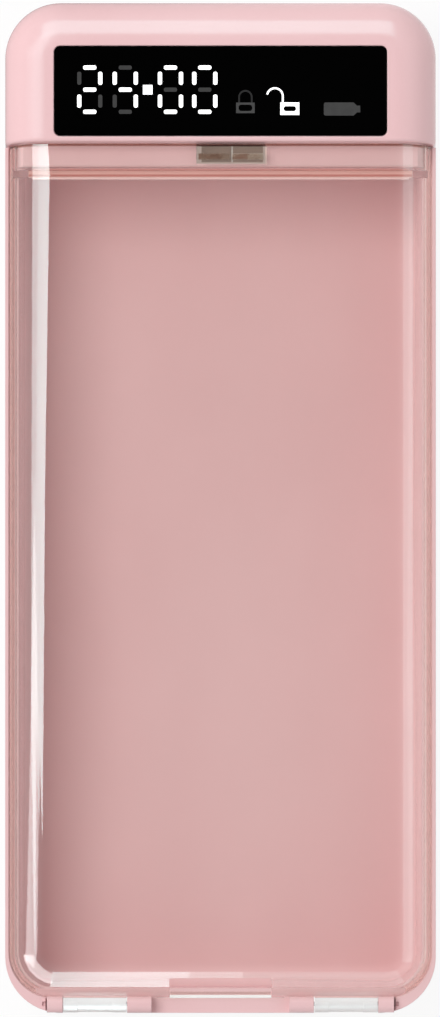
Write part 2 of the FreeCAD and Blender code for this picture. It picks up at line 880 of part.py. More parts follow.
def head_cover():
    """The glossy front shell of the head, with the display's seat and the end wall's openings."""
    outer = body_outline(parting_height + cover_seat_gap, body_depth, top=front_edge_radius)
    outer = outer.common(head_side())
    seam_edges = [
        edge
        for edge in outer.Edges
        if all(abs(point.y - seam_at(point.z)) < seam_hair for point in edge.discretize(3))
        and edge.BoundBox.ZMax > parting_height + 2 * cover_seat_gap
    ]
    outer = outer.makeFillet(seam_edge_radius, seam_edges)
    inner = pebble(
        -head_inner_half_width,
        head_inner_half_width,
        -half_length,
        head_inner_y,
        0,
        cover_inner_front,
        foot_radius=plan_corner_radius - head_wall,
        top=front_edge_radius - head_wall,
    )
    inner = inner.common(block(-body_width, body_width, cover_foot_inner_y, body_length, 0, body_depth))
    post_top = body_depth - cover_post_sink
    posts = [
        rod(cover_post_radius, vec(x, y, parting_height + cover_seat_gap), vec(x, y, post_top))
        for x, y in cover_screw_places
    ]
    posts += both_sides(
        lambda side: rod(
            board_post_radius,
            vec(side * board_post_x, board_wing_middle, board_top),
            vec(side * board_post_x, board_wing_middle, post_top),
        )
    )
    core = pebble(
        -half_width + 2 * bite,
        half_width - 2 * bite,
        -half_length,
        half_length - 2 * bite,
        parting_height + cover_seat_gap,
        body_depth - 2 * bite,
        foot_radius=plan_corner_radius - 2 * bite,
        top=front_edge_radius - 2 * bite,
    )
    posts = [post.common(core) for post in posts]
    shell = joined([outer.cut(inner)] + posts)
    arch = ledge_outline(bay_head_y, cover_foot_inner_y + past, grow=cover_seat_gap)
    seat_z = body_depth - window_thickness - tape_thickness
    cuts = [
        arch,
        window_plate(window_gap, seat_z, body_depth + past),
        window_plate(-window_seat_width, cover_inner_front - past, body_depth),
        pill(
            socket_x,
            end_controls_z,
            socket_width + 2 * socket_gap,
            socket_height + 2 * socket_gap,
            head_inner_y - past,
            half_length + past,
        ),
    ]
    cuts += [
        pill(
            x,
            end_controls_z,
            button_width + 2 * button_gap,
            button_height + 2 * button_gap,
            head_inner_y - past,
            half_length + past,
        )
        for x in button_positions
    ]
    screw_top = parting_height + cover_screw_bite
    cuts += [rod(cover_screw_radius, vec(x, y, 0), vec(x, y, screw_top)) for x, y in cover_screw_places]
    cuts += both_sides(
        lambda side: rod(
            board_screw_radius,
            vec(side * board_post_x, board_wing_middle, 0),
            vec(side * board_post_x, board_wing_middle, cover_inner_front),
        )
    )
    return shell.cut(Part.makeCompound(cuts)).removeSplitter()


# ---- display ----

SEGMENTS_ON = {"2": "abged", "4": "fgbc", "0": "abcdef"}


def bar(x, y, width, height):
    """One rounded display bar, let into the window's face."""
    z0 = body_depth - segment_depth
    half_w, half_h = width / 2, height / 2
    return rounded_block(
        x - half_w, x + half_w, y - half_h, y + half_h, z0, body_depth, segment_corner_radius
    )


def segment(letter, x):
    """Segment a to g of the digit centred at x."""
    half_w, half_h, t = digit_half_width, digit_half_height, segment_thickness
    rise = half_h / 2 + bar_rise
    places = {
        "a": (0, half_h, bar_length_across, t),
        "b": (half_w, rise, t, bar_length_up),
        "c": (half_w, -rise, t, bar_length_up),
        "d": (0, -half_h, bar_length_across, t),
        "e": (-half_w, -rise, t, bar_length_up),
        "f": (-half_w, rise, t, bar_length_up),
        "g": (0, 0, bar_length_across, t),
    }
    dx, dy, width, height = places[letter]
    return bar(x + dx, digits_y + dy, width, height)


def digit_segments(lit):
    """All lit, or all unlit, segments of the four digits."""
    return [
        segment(letter, x)
        for x, text in zip(digit_centres, digit_texts)
        for letter in "abcdefg"
        if (letter in SEGMENTS_ON[text]) == lit
    ]


def colon_dot():
    """The square dot between hours and minutes."""
    half = colon_size / 2
    z0 = body_depth - segment_depth
    return block(colon_x - half, colon_x + half, digits_y - half, digits_y + half, z0, body_depth)


def padlock_body(x, top, width, height, slot):
    """A padlock symbol's body with a slot in it, centred at x under the line y = top."""
    slot_width, slot_height = slot
    z0 = body_depth - segment_depth
    plate = block(x - width / 2, x + width / 2, top - height, top, z0, body_depth)
    middle_y = top - height / 2
    hollow = rounded_block(
        x - slot_width / 2,
        x + slot_width / 2,
        middle_y - slot_height / 2,
        middle_y + slot_height / 2,
        z0 - past,
        body_depth + past,
        slot_height * icon_slot_round,
    )
    return plate.cut(hollow)


def shackle(x, y, radius, thickness, sweep, legs):
    """A padlock symbol's bow: an arc from the right, and straight legs of given lengths down."""
    z0 = body_depth - segment_depth
    ring = Part.makeCylinder(radius + thickness / 2, segment_depth, vec(x, y, z0))
    ring = ring.cut(Part.makeCylinder(radius - thickness / 2, segment_depth, vec(x, y, z0)))
    sector = Part.makeCylinder(
        radius + thickness, segment_depth, vec(x, y, z0), vec(0, 0, 1), sweep
    )
    pieces = [ring.common(sector)]
    half = thickness / 2
    for leg_x, leg_length in legs:
        pieces.append(
            block(x + leg_x - half, x + leg_x + half, y - leg_length, y, z0, body_depth)
        )
    return pieces


def lock_icon():
    """The unlit closed padlock symbol."""
    top = digits_y - lock_icon_drop
    body = padlock_body(lock_icon_x, top, lock_icon_width, lock_icon_height, lock_slot)
    radius = lock_bow_radius
    legs = [(-radius, lock_bow_rise), (radius, lock_bow_rise)]
    bow_y = top + lock_bow_rise
    bow = shackle(lock_icon_x, bow_y, radius, lock_bow_thickness, lock_bow_sweep, legs)
    return joined([body] + bow)


def unlock_icon():
    """The lit open padlock symbol, its bow swung out to the left."""
    top = digits_y - icon_drop
    body = padlock_body(unlock_icon_x, top, unlock_icon_width, unlock_icon_height, unlock_slot)
    radius = unlock_bow_radius
    bow_x = unlock_icon_x - unlock_icon_width / 2 + unlock_bow_inset - radius
    legs = [(radius, unlock_bow_rise)]
    bow = shackle(bow_x, top + unlock_bow_rise, radius, unlock_bow_thickness, unlock_bow_sweep, legs)
    return joined([body] + bow)


def battery_icon():
    """The unlit battery symbol."""
    top = digits_y - icon_drop
    low = top - battery_icon_height
    z0 = body_depth - segment_depth
    x0, x1 = battery_icon_x - battery_icon_length, battery_icon_x
    cell = rounded_block(x0, x1, low, top, z0, body_depth, segment_corner_radius)
    slope_x = x1 + battery_nub_length / 2
    tip_x = x1 + battery_nub_length
    step = battery_nub_step
    points = [
        (x1 - bite, top),
        (x1, top),
        (slope_x, top - step),
        (tip_x, top - step),
        (tip_x, low + step),
        (slope_x, low + step),
        (x1, low),
        (x1 - bite, low),
    ]
    corners = [vec(x, y, z0) for x, y in points]
    outline = Part.makePolygon(corners + corners[:1])
    nub = Part.Face(outline).extrude(vec(0, 0, segment_depth))
    return joined([cell, nub])


def display_window(inlays):
    """The black front panel, with a shallow seat for each lit or unlit mark."""
    plate = window_plate(0.0, body_depth - window_thickness, body_depth)
    return plate.cut(Part.makeCompound(inlays))


def window_tape():
    """The thin adhesive frame under the panel."""
    z0 = body_depth - window_thickness - tape_thickness
    frame = window_plate(-tape_inset, z0, z0 + tape_thickness)
    return frame.cut(window_plate(-window_seat_width, z0 - past, z0 + past))


def display_module():
    """The light box with the lamps behind the panel."""
    edge = window_seat_width + module_margin
    top = body_depth - window_thickness - module_gap
    return block(
        -window_width / 2 + edge,
        window_width / 2 - edge,
        window_y0 + edge,
        window_y0 + window_height - edge,
        board_top,
        top,
    )


# ---- boards ----


def control_board():
    """The board behind the display, with a wing at each side for its screw."""
    y0 = cover_foot_inner_y + board_edge_gap
    y1 = button_board_y1 + board_over_button_board
    main = block(-board_half_width, board_half_width, y0, y1, board_bottom, board_top)
    reach = board_post_x + board_post_radius + board_wing_margin
    wings = block(
        -reach,
        reach,
        board_wing_middle - board_wing_width / 2,
        board_wing_middle + board_wing_width / 2,
        board_bottom,
        board_top,
    )
    holes = both_sides(
        lambda side: rod(
            board_screw_radius + screw_clearance,
            vec(side * board_post_x, board_wing_middle, board_bottom - past),
            vec(side * board_post_x, board_wing_middle, board_top + past),
        )
    )
    return joined([main, wings]).cut(Part.makeCompound(holes))


def screw(x, y, head_z0, head_height, head_radius, shank_radius, tip_z, recess_below):
    """An upright screw: its head, its shank to tip_z and the recess for the driver."""
    head = rod(head_radius, vec(x, y, head_z0), vec(x, y, head_z0 + head_height))
    shank = rod(shank_radius, vec(x, y, head_z0 + head_height / 2), vec(x, y, tip_z))
    outer_z = head_z0 if recess_below else head_z0 + head_height
    inner_z = outer_z + drive_recess_depth * (1 if recess_below else -1)
    half = drive_recess_half_width
    arms = [
        block(x - dx, x + dx, y - dy, y + dy, min(outer_z, inner_z), max(outer_z, inner_z))
        for dx, dy in ((drive_recess_radius, half), (half, drive_recess_radius))
    ]
    return joined([head, shank]).cut(Part.makeCompound(arms))


def board_screws():
    """The two screws that hold the control board to the head cover."""
    return both_sides(
        lambda side: screw(
            side * board_post_x,
            board_wing_middle,
            board_bottom - board_screw_head_height,
            board_screw_head_height,
            board_screw_head_radius,
            board_screw_radius,
            cover_inner_front - screw_tip_gap,
            True,
        )
    )


def cover_screws():
    """The four screws that hold the head cover to the base."""
    return [
        screw(
            x,
            y,
            cover_screw_sink,
            cover_screw_head_height,
            cover_screw_head_radius,
            cover_screw_radius,
            parting_height + cover_screw_bite - screw_tip_gap,
            True,
        )
        for x, y in cover_screw_places
    ]


def frame_screws():
    """The four screws that hold the latch frame to the base."""
    return [
        screw(
            x,
            y,
            frame_top,
            frame_screw_head_height,
            frame_screw_head_radius,
            frame_screw_radius,
            floor_thickness + screw_tip_gap,
            False,
        )
        for x, y in frame_screw_places
    ]


def button_board():
    """The upright board that carries the switches and the charging socket."""
    return block(
        -button_board_half_width,
        button_board_half_width,
        button_board_y0,
        button_board_y1,
        button_board_bottom + board_slot_gap,
        button_board_top,
    )


def tact_switches():
    """The switch body behind each button, with a hole for its plunger."""
    half = switch_size / 2
    y1 = button_board_y1 + switch_height
    return [
        block(
            x - half, x + half, button_board_y1, y1, end_controls_z - half, end_controls_z + half
        ).cut(
            rod(
                plunger_radius + plunger_gap,
                vec(x, y1 - plunger_reach - button_travel - plunger_gap, end_controls_z),
                vec(x, y1 + past, end_controls_z),
            )
        )
        for x in button_positions
    ]


def button_cap(x):
    """One push button: its cap, the flange that keeps it in and the post behind it."""
    flange_y1 = head_inner_y - button_flange_gap
    flange_y0 = flange_y1 - button_flange_thickness
    face_y = half_length - button_sink
    cap = pill(x, end_controls_z, button_width, button_height, flange_y0, face_y)
    face = [edge for edge in cap.Edges if abs(edge.BoundBox.YMin - face_y) < hair]
    cap = cap.makeFillet(button_edge_radius, face)
    flange = pill(
        x,
        end_controls_z,
        button_width + 2 * button_flange,
        button_height + 2 * button_flange,
        flange_y0,
        flange_y1,
    )
    return joined([cap, flange])


def switch_plunger(x):
    """The plunger between a button and its switch."""
    flange_y0 = head_inner_y - button_flange_gap - button_flange_thickness
    start = button_board_y1 + switch_height - plunger_reach
    return rod(plunger_radius, vec(x, start, end_controls_z), vec(x, flange_y0, end_controls_z))


def charging_socket():
    """The metal shell of the charging socket."""
    y1 = half_length - socket_recess
    shell = pill(socket_x, end_controls_z, socket_width, socket_height, button_board_y1, y1)
    hollow = pill(
        socket_x,
        end_controls_z,
        socket_width - 2 * socket_shell,
        socket_height - 2 * socket_shell,
        y1 - socket_depth,
        y1 + past,
    )
    return shell.cut(hollow)


def socket_tongue():
    """The contact tongue inside the charging socket."""
    y1 = half_length - socket_recess - tongue_setback
    half = tongue_thickness / 2
    return block(
        socket_x - tongue_width / 2,
        socket_x + tongue_width / 2,
        half_length - socket_recess - socket_depth,
        y1,
        end_controls_z - half,
        end_controls_z + half,
    )


def link_header():
    """The connector strip between the two boards."""
    middle = (button_board_y0 + button_board_y1) / 2
    return block(
        header_x - header_width / 2,
        header_x + header_width / 2,
        middle - header_depth / 2,
        middle + header_depth / 2,
        button_board_top,
        board_bottom,
    )


def limit_switch():
    """The switch that feels the end of the drawn-back bolt."""
    middle = (bar_x0 + bar_x1) / 2
    return block(
        middle - limit_switch_width / 2,
        middle + limit_switch_width / 2,
        bolt_end_y + limit_switch_gap,
        button_board_y0,
        bolt_top - limit_switch_height,
        bolt_top,
    )


def buzzer():
    """The round sounder under the control board."""
    place = vec(buzzer_x, window_y, board_bottom - buzzer_height)
    can = rod(buzzer_radius, place, vec(buzzer_x, window_y, board_bottom))
    vent = rod(buzzer_vent_radius, place, vec(buzzer_x, window_y, board_bottom - buzzer_height / 2))
    return can.cut(vent)


def controller_chips():
    """The timer chip and the motor driver under the control board."""
    chips = []
    for x, size in ((chip_x, chip_size), (driver_chip_x, driver_chip_size)):
        half = size / 2
        chips.append(
            block(
                x - half,
                x + half,
                window_y - half,
                window_y + half,
                board_bottom - chip_height,
                board_bottom,
            )
        )
    return chips


# ---- latch works ----


def latch_frame():
    """The plate that carries the motor and guides the bolt."""
    plate = block(frame_x0, frame_x1, frame_y0, frame_y1, frame_bottom, frame_top)
    wall_y0 = pinion_y - gearbox_width / 2 - mount_wall_margin
    wall_y1 = pinion_y + gearbox_width / 2 + mount_wall_margin
    low = frame_top - bite
    pad = block(
        motor_x0 + motor_pad_inset,
        gearbox_x1,
        pinion_y - motor_pad_half_width,
        pinion_y + motor_pad_half_width,
        low,
        gearbox_bottom,
    )
    wall = block(mount_wall_x0, mount_wall_x1, wall_y0, wall_y1, low, shelf_top)
    shelf = block(guide_x0, guide_x1 - guide_wall, guide_y0, guide_y1, low, shelf_top)
    guide = block(
        guide_x1 - guide_wall,
        guide_x1,
        guide_y0,
        guide_y1,
        low,
        bolt_top + guide_wall_over_bolt,
    )
    cradle = []
    for side in (-1, 1):
        near = gearbox_width / 2 + cradle_gap
        y0, y1 = sorted((pinion_y + side * near, pinion_y + side * (near + cradle_wall)))
        cradle.append(
            block(
                motor_x0 + cradle_start,
                motor_x0 + cradle_start + cradle_length,
                y0,
                y1,
                low,
                frame_top + cradle_height,
            )
        )
    shape = joined([plate, pad, wall, shelf, guide] + cradle)
    cuts = [
        rod(
            motor_boss_radius + cradle_gap,
            vec(mount_wall_x0 - past, pinion_y, pinion_z),
            vec(mount_wall_x1 + past, pinion_y, pinion_z),
        )
    ]
    cuts += [
        rod(
            gearbox_screw_radius + screw_clearance / 2,
            vec(mount_wall_x0 - past, pinion_y + side * gearbox_screw_spacing / 2, pinion_z),
            vec(mount_wall_x1 + past, pinion_y + side * gearbox_screw_spacing / 2, pinion_z),
        )
        for side in (-1, 1)
    ]
    cuts += [
        rod(
            frame_screw_radius + screw_clearance,
            vec(x, y, frame_bottom - past),
            vec(x, y, frame_top + past),
        )
        for x, y in frame_screw_places
    ]
    return shape.cut(Part.makeCompound(cuts))


def flank_points(sign, base_radius, outer_radius, half_angle):
    """Three points of one involute flank: at the base circle, half way and at the tip."""
    points = []
    for share in (0.0, 0.5, 1.0):
        radius = base_radius + (outer_radius - base_radius) * share
        roll = math.sqrt(max(0.0, (radius / base_radius) ** 2 - 1))
        angle = half_angle - (roll - math.atan(roll))
        points.append((radius, sign * angle))
    return points


def on_pinion(radius, angle):
    """A point of the pinion's outline; angle 0 points up to the rack."""
    return vec(pinion_x0, pinion_y + radius * math.sin(angle), pinion_z + radius * math.cos(angle))


def arc_through(points):
    """The arc edge through three points."""
    return Part.Arc(*points).toShape()


def drive_pinion():
    """The toothed pinion that drives the rack, with a gap facing the rack at rest."""
    alpha = math.radians(pressure_angle)
    base_radius = pitch_radius * math.cos(alpha)
    outer_radius = pitch_radius + tooth_addendum
    root_radius = pitch_radius - tooth_dedendum
    step = 2 * math.pi / pinion_teeth
    half_at_pitch = (math.pi * tooth_module / 2 - tooth_backlash / 2) / (2 * pitch_radius)
    half_at_base = half_at_pitch + math.tan(alpha) - alpha
    left = flank_points(-1, base_radius, outer_radius, half_at_base)
    right = flank_points(1, base_radius, outer_radius, half_at_base)[::-1]
    edges = []
    for tooth in range(pinion_teeth):
        middle = (tooth + 0.5) * step
        up = [on_pinion(r, middle + a) for r, a in left]
        down = [on_pinion(r, middle + a) for r, a in right]
        root_left = on_pinion(root_radius, middle - half_at_base)
        root_right = on_pinion(root_radius, middle + half_at_base)
        next_root = on_pinion(root_radius, middle + step - half_at_base)
        gap_middle = on_pinion(root_radius, middle + step / 2)
        edges.append(Part.makeLine(root_left, up[0]))
        edges.append(arc_through(up))
        edges.append(arc_through([up[2], on_pinion(outer_radius, middle), down[0]]))
        edges.append(arc_through(down))
        edges.append(Part.makeLine(down[2], root_right))
        edges.append(arc_through([root_right, gap_middle, next_root]))
    face = Part.Face(Part.Wire(edges))
    gear = face.extrude(vec(pinion_width, 0, 0))
    return gear.cut(
        rod(
            shaft_radius,
            vec(pinion_x0 - past, pinion_y, pinion_z),
            vec(pinion_x0 + pinion_width + past, pinion_y, pinion_z),
        )
    )


def rack():
    """The rack's teeth, hanging under the bolt's bar."""
    alpha = math.radians(pressure_angle)
    pitch = math.pi * tooth_module
    half_at_pitch = (pitch - tooth_backlash) / 4
    pitch_z = pinion_z + pitch_radius
    root_z = bolt_bottom + bite
    tip_z = pitch_z - tooth_addendum
    half_root = half_at_pitch + (bolt_bottom - pitch_z) * math.tan(alpha)
    half_tip = half_at_pitch - tooth_addendum * math.tan(alpha)
    teeth = []
    for number in range(rack_teeth):
        y = pinion_y + (number - rack_teeth // 2) * pitch
        x = rack_x - rack_width / 2
        points = [
            vec(x, y - half_root, root_z),
            vec(x, y - half_root, bolt_bottom),
            vec(x, y - half_tip, tip_z),
            vec(x, y + half_tip, tip_z),
            vec(x, y + half_root, bolt_bottom),
            vec(x, y + half_root, root_z),
        ]
        outline = Part.makePolygon(points + points[:1])
        teeth.append(Part.Face(outline).extrude(vec(rack_width, 0, 0)))
    return teeth


def lock_bolt():
    """The sliding bolt: the wide nose that covers the toes, and the bar with the rack."""
    nose = block(
        catch_x - catch_half_width + bolt_nose_inset,
        catch_x + catch_half_width - bolt_nose_inset,
        bolt_tip_y,
        bolt_bar_y,
        bolt_bottom,
        bolt_top,
    )
    tip_corners = [edge for edge in upright_edges(nose) if abs(edge.Vertexes[0].Y - bolt_tip_y) < hair]
    nose = nose.makeFillet(bolt_tip_radius, tip_corners)
    bar_block = block(bar_x0, bar_x1, bolt_bar_y - bite, bolt_end_y, bolt_bottom, bolt_top)
    return joined([nose, bar_block] + rack())


def motor_shaft():
    """The output shaft that carries the pinion."""
    return rod(
        shaft_radius,
        vec(gearbox_x1 - shaft_depth, pinion_y, pinion_z),
        vec(pinion_x0 + pinion_width, pinion_y, pinion_z),
    )


def gearbox():
    """The brass-sided gearbox with its output boss and screw holes."""
    half_w, half_h = gearbox_width / 2, gearbox_height / 2
    case = block(
        gearbox_x0,
        gearbox_x1,
        pinion_y - half_w,
        pinion_y + half_w,
        pinion_z - half_h,
        pinion_z + half_h,
    )
    boss = rod(
        motor_boss_radius,
        vec(gearbox_x1 - bite, pinion_y, pinion_z),
        vec(gearbox_x1 + motor_boss_length, pinion_y, pinion_z),
    )
    bore = rod(
        shaft_radius + shaft_running_gap,
        vec(gearbox_x1 - shaft_depth - shaft_running_gap, pinion_y, pinion_z),
        vec(gearbox_x1 + motor_boss_length + past, pinion_y, pinion_z),
    )
    holes = [
        rod(
            gearbox_screw_radius,
            vec(gearbox_x1 - gearbox_screw_depth, pinion_y + side * gearbox_screw_spacing / 2, pinion_z),
            vec(gearbox_x1 + past, pinion_y + side * gearbox_screw_spacing / 2, pinion_z),
        )
        for side in (-1, 1)
    ]
    return joined([case, boss]).cut(Part.makeCompound([bore] + holes))


def gearbox_screws():
    """The two screws through the frame's wall into the gearbox."""
    shapes = []
    for side in (-1, 1):
        y = pinion_y + side * gearbox_screw_spacing / 2
        head_x1 = mount_wall_x1 + gearbox_screw_head_height
        head = rod(
            gearbox_screw_head_radius, vec(mount_wall_x1, y, pinion_z), vec(head_x1, y, pinion_z)
        )
        shank = rod(
            gearbox_screw_radius,
            vec(gearbox_x1 - gearbox_screw_depth, y, pinion_z),
            vec(mount_wall_x1 + bite, y, pinion_z),
        )
        slot = block(
            head_x1 - gearbox_slot_depth,
            head_x1,
            y - gearbox_slot_half_width,
            y + gearbox_slot_half_width,
            pinion_z - gearbox_screw_head_radius,
            pinion_z + gearbox_screw_head_radius,
        )
        shapes.append(joined([head, shank]).cut(slot))
    return shapes


def motor_can():
    """The motor's can, round with two flats, and its rear boss."""
    can = rod(
        gearbox_width / 2, vec(motor_x0, pinion_y, pinion_z), vec(gearbox_x0, pinion_y, pinion_z)
    )
    half_h = gearbox_height / 2
    flats = block(
        motor_x0,
        gearbox_x0,
        pinion_y - gearbox_width,
        pinion_y + gearbox_width,
        pinion_z - half_h,
        pinion_z + half_h,
    )
    boss = rod(
        motor_boss_radius,
        vec(motor_x0 - motor_boss_length, pinion_y, pinion_z),
        vec(motor_x0 + bite, pinion_y, pinion_z),
    )
    return joined([can.common(flats), boss])


def motor_terminals():
    """The two solder tabs at the motor's back."""
    tabs = []
    for side in (-1, 1):
        z = pinion_z + side * terminal_offset
        tabs.append(
            block(
                motor_x0 - terminal_length,
                motor_x0,
                pinion_y - terminal_width / 2,
                pinion_y + terminal_width / 2,
                z - terminal_thickness / 2,
                z + terminal_thickness / 2,
            )
        )
    return tabs


def battery_cell():
    """The flat lithium cell under the latch frame."""
    half = battery_width / 2
    top = battery_z + battery_thickness
    cell = block(battery_x0, battery_x1, battery_y - half, battery_y + half, battery_z, top)
    long_edges = [edge for edge in cell.Edges if edge.BoundBox.XLength > battery_length / 2]
    return cell.makeFillet(battery_fillet, long_edges)


def battery_pad():
    """The adhesive foam under the cell."""
    half = battery_width / 2 - 2 * battery_fillet
    return block(
        battery_x0 + battery_pad_inset,
        battery_x1 - battery_pad_inset,
        battery_y - half,
        battery_y + half,
        floor_thickness,
        battery_z,
    )


def wire(points, radius):
    """A round lead through the points, as straight runs joined by tangent arcs."""
    edges, start = [], points[0]
    for before, corner, after in zip(points, points[1:], points[2:]):
        back, ahead = before - corner, after - corner
        reach = wire_bend_share * min(back.Length, ahead.Length)
        back.normalize()
        ahead.normalize()
        entry, leave = corner + back * reach, corner + ahead * reach
        half_angle = back.getAngle(ahead) / 2
        bisector = back + ahead
        bisector.normalize()
        arc_radius = reach * math.tan(half_angle)
        centre = corner + bisector * (reach / math.cos(half_angle))
        middle = centre - bisector * arc_radius
        edges.append(Part.makeLine(start, entry))
        edges.append(Part.Arc(entry, middle, leave).toShape())
        start = leave
    edges.append(Part.makeLine(start, points[-1]))
    path = Part.Wire(edges)
    profile = Part.Wire([Part.makeCircle(radius, points[0], points[1] - points[0])])
    return path.makePipeShell([profile], True, False)


def motor_leads():
    """The two leads from the motor's tabs up to the control board."""
    leads = []
    for side in (-1, 1):
        z = pinion_z + side * terminal_offset
        y = pinion_y + side * lead_spread
        back_x = motor_x0 - terminal_length
        x = back_x - lead_turn - (1 - side) * lead_spread
        leads.append(wire([vec(back_x, y, z), vec(x, y, z), vec(x, y, board_bottom)], lead_radius))
    return leads


def battery_leads():
    """The two leads from the cell's end round the frame's boss to their connector."""
    leads = []
    for side in (-1, 1):
        y = battery_y + side * battery_lead_spread
        x = connector_x - side * battery_lead_spread
        end_y = button_board_y0 - connector_depth
        leads.append(
            wire(
                [
                    vec(battery_x1, y, battery_lead_z),
                    vec(x, y, battery_lead_z),
                    vec(x, end_y, battery_lead_z),
                ],
                lead_radius,
            )
        )
    return leads


def battery_connector():
    """The small socket on the button board for the cell's leads."""
    return block(
        connector_x - connector_width / 2,
        connector_x + connector_width / 2,
        button_board_y0 - connector_depth,
        button_board_y0,
        battery_lead_z - connector_height / 2,
        battery_lead_z + connector_height / 2,
    )


def save(name, shape):
    """Writes one sub-part's solids, loose solids side by side, to its STEP file."""
    solids = shape if isinstance(shape, list) else [shape]
    solids = [solid for item in solids for solid in item.Solids]
    result = solids[0] if len(solids) == 1 else Part.makeCompound(solids)
    result.exportStep(os.path.join("parts", name + ".step"))


def main():
    """Builds every sub-part and writes its file."""
    os.makedirs("parts", exist_ok=True)
    marks = {
        "digit_segments_lit": digit_segments(True) + [colon_dot()],
        "digit_segments_unlit": digit_segments(False),
        "lock_icon": [lock_icon()],
        "unlock_icon": [unlock_icon()],
        "battery_icon": [battery_icon()],
    }
    nodes = {
        "base_shell": base_shell(),
        "lid": lid(),
        "lid_hooks": lid_hooks(),
        "hinge_pin_left": hinge_pin(-1),
        "hinge_pin_right": hinge_pin(1),
        "head_cover": head_cover(),
        "display_window": display_window([mark for group in marks.values() for mark in group]),
        "window_tape": window_tape(),
        "display_module": display_module(),
        "control_board": control_board(),
        "controller_chips": controller_chips(),
        "buzzer": buzzer(),
        "board_screws": board_screws(),
        "cover_screws": cover_screws(),
        "button_board": button_board(),
        "tact_switches": tact_switches(),
        "charging_socket": charging_socket(),
        "socket_tongue": socket_tongue(),
        "link_header": link_header(),
        "limit_switch": limit_switch(),
        "battery_connector": battery_connector(),
        "latch_frame": latch_frame(),
        "frame_screws": frame_screws(),
        "lock_bolt": lock_bolt(),
        "drive_pinion": drive_pinion(),
        "motor_shaft": motor_shaft(),
        "gearbox": gearbox(),
        "gearbox_screws": gearbox_screws(),
        "motor_can": motor_can(),
        "motor_terminals": motor_terminals(),
        "battery_cell": battery_cell(),
        "battery_pad": battery_pad(),
        "motor_leads": motor_leads(),
        "battery_leads": battery_leads(),
    }
    nodes.update(marks)
    for name, x in zip(button_names, button_positions):
        nodes[name + "_button"] = button_cap(x)
        nodes[name + "_plunger"] = switch_plunger(x)
    for name, shape in nodes.items():
        save(name, shape)
    print(len(nodes), "sub-parts written")


main()
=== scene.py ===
"""Looks of the timed lock container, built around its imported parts.

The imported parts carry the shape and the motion. This file gives each of them its finish, adds the
small fittings that the parts leave plain, and sets the floor, the lamps and the camera.
"""

import json
import logging
import math
from collections.abc import Sequence
from dataclasses import dataclass, field, replace
from enum import Enum
from typing import ClassVar

import bmesh
import bpy
from mathutils import Matrix, Vector

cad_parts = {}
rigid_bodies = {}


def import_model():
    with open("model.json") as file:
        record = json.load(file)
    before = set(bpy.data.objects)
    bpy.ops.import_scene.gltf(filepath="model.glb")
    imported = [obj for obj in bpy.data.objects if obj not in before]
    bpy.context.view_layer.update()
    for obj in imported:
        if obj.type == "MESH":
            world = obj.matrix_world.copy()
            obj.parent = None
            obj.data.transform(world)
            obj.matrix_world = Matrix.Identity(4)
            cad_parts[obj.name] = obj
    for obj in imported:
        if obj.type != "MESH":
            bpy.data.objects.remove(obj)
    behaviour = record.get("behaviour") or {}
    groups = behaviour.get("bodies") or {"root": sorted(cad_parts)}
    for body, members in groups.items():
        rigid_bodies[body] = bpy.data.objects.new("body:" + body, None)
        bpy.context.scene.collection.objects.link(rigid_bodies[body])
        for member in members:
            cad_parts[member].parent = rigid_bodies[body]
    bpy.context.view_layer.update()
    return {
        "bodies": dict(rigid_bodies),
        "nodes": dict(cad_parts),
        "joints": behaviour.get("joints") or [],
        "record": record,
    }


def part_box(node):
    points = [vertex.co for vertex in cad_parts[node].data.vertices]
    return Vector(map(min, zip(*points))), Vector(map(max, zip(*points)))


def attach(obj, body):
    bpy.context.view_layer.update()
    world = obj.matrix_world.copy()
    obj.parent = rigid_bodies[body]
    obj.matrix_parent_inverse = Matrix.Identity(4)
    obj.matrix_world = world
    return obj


LOG = logging.getLogger("lock_container")
MM = 0.001
SHELL_INDEX = 1.5
CLEAR_INDEX = 1.49
Colour = tuple[float, float, float]
Point = tuple[float, float, float]
Range = tuple[float, float]
Outline = Sequence[tuple[float, float]]


# ---------------------------------------------------------------------------------------------
# Node trees
# ---------------------------------------------------------------------------------------------


def linear(red: int, green: int, blue: int) -> Colour:
    """A display colour, 0 to 255 each, as the linear light values that shaders take.

    Args:
        red: Red as shown on a screen.
        green: Green as shown on a screen.
        blue: Blue as shown on a screen.

    Returns:
        The three linear values, 0 to 1.
    """

    def one(value: int) -> float:
        """One of the three, by the standard curve of displays."""
        share = value / 255
        return share / 12.92 if share <= 0.04045 else ((share + 0.055) / 1.055) ** 2.4

    return one(red), one(green), one(blue)


def scaled(colour: Colour, by: float) -> Colour:
    """A colour with its three values multiplied by a number."""
    return colour[0] * by, colour[1] * by, colour[2] * by


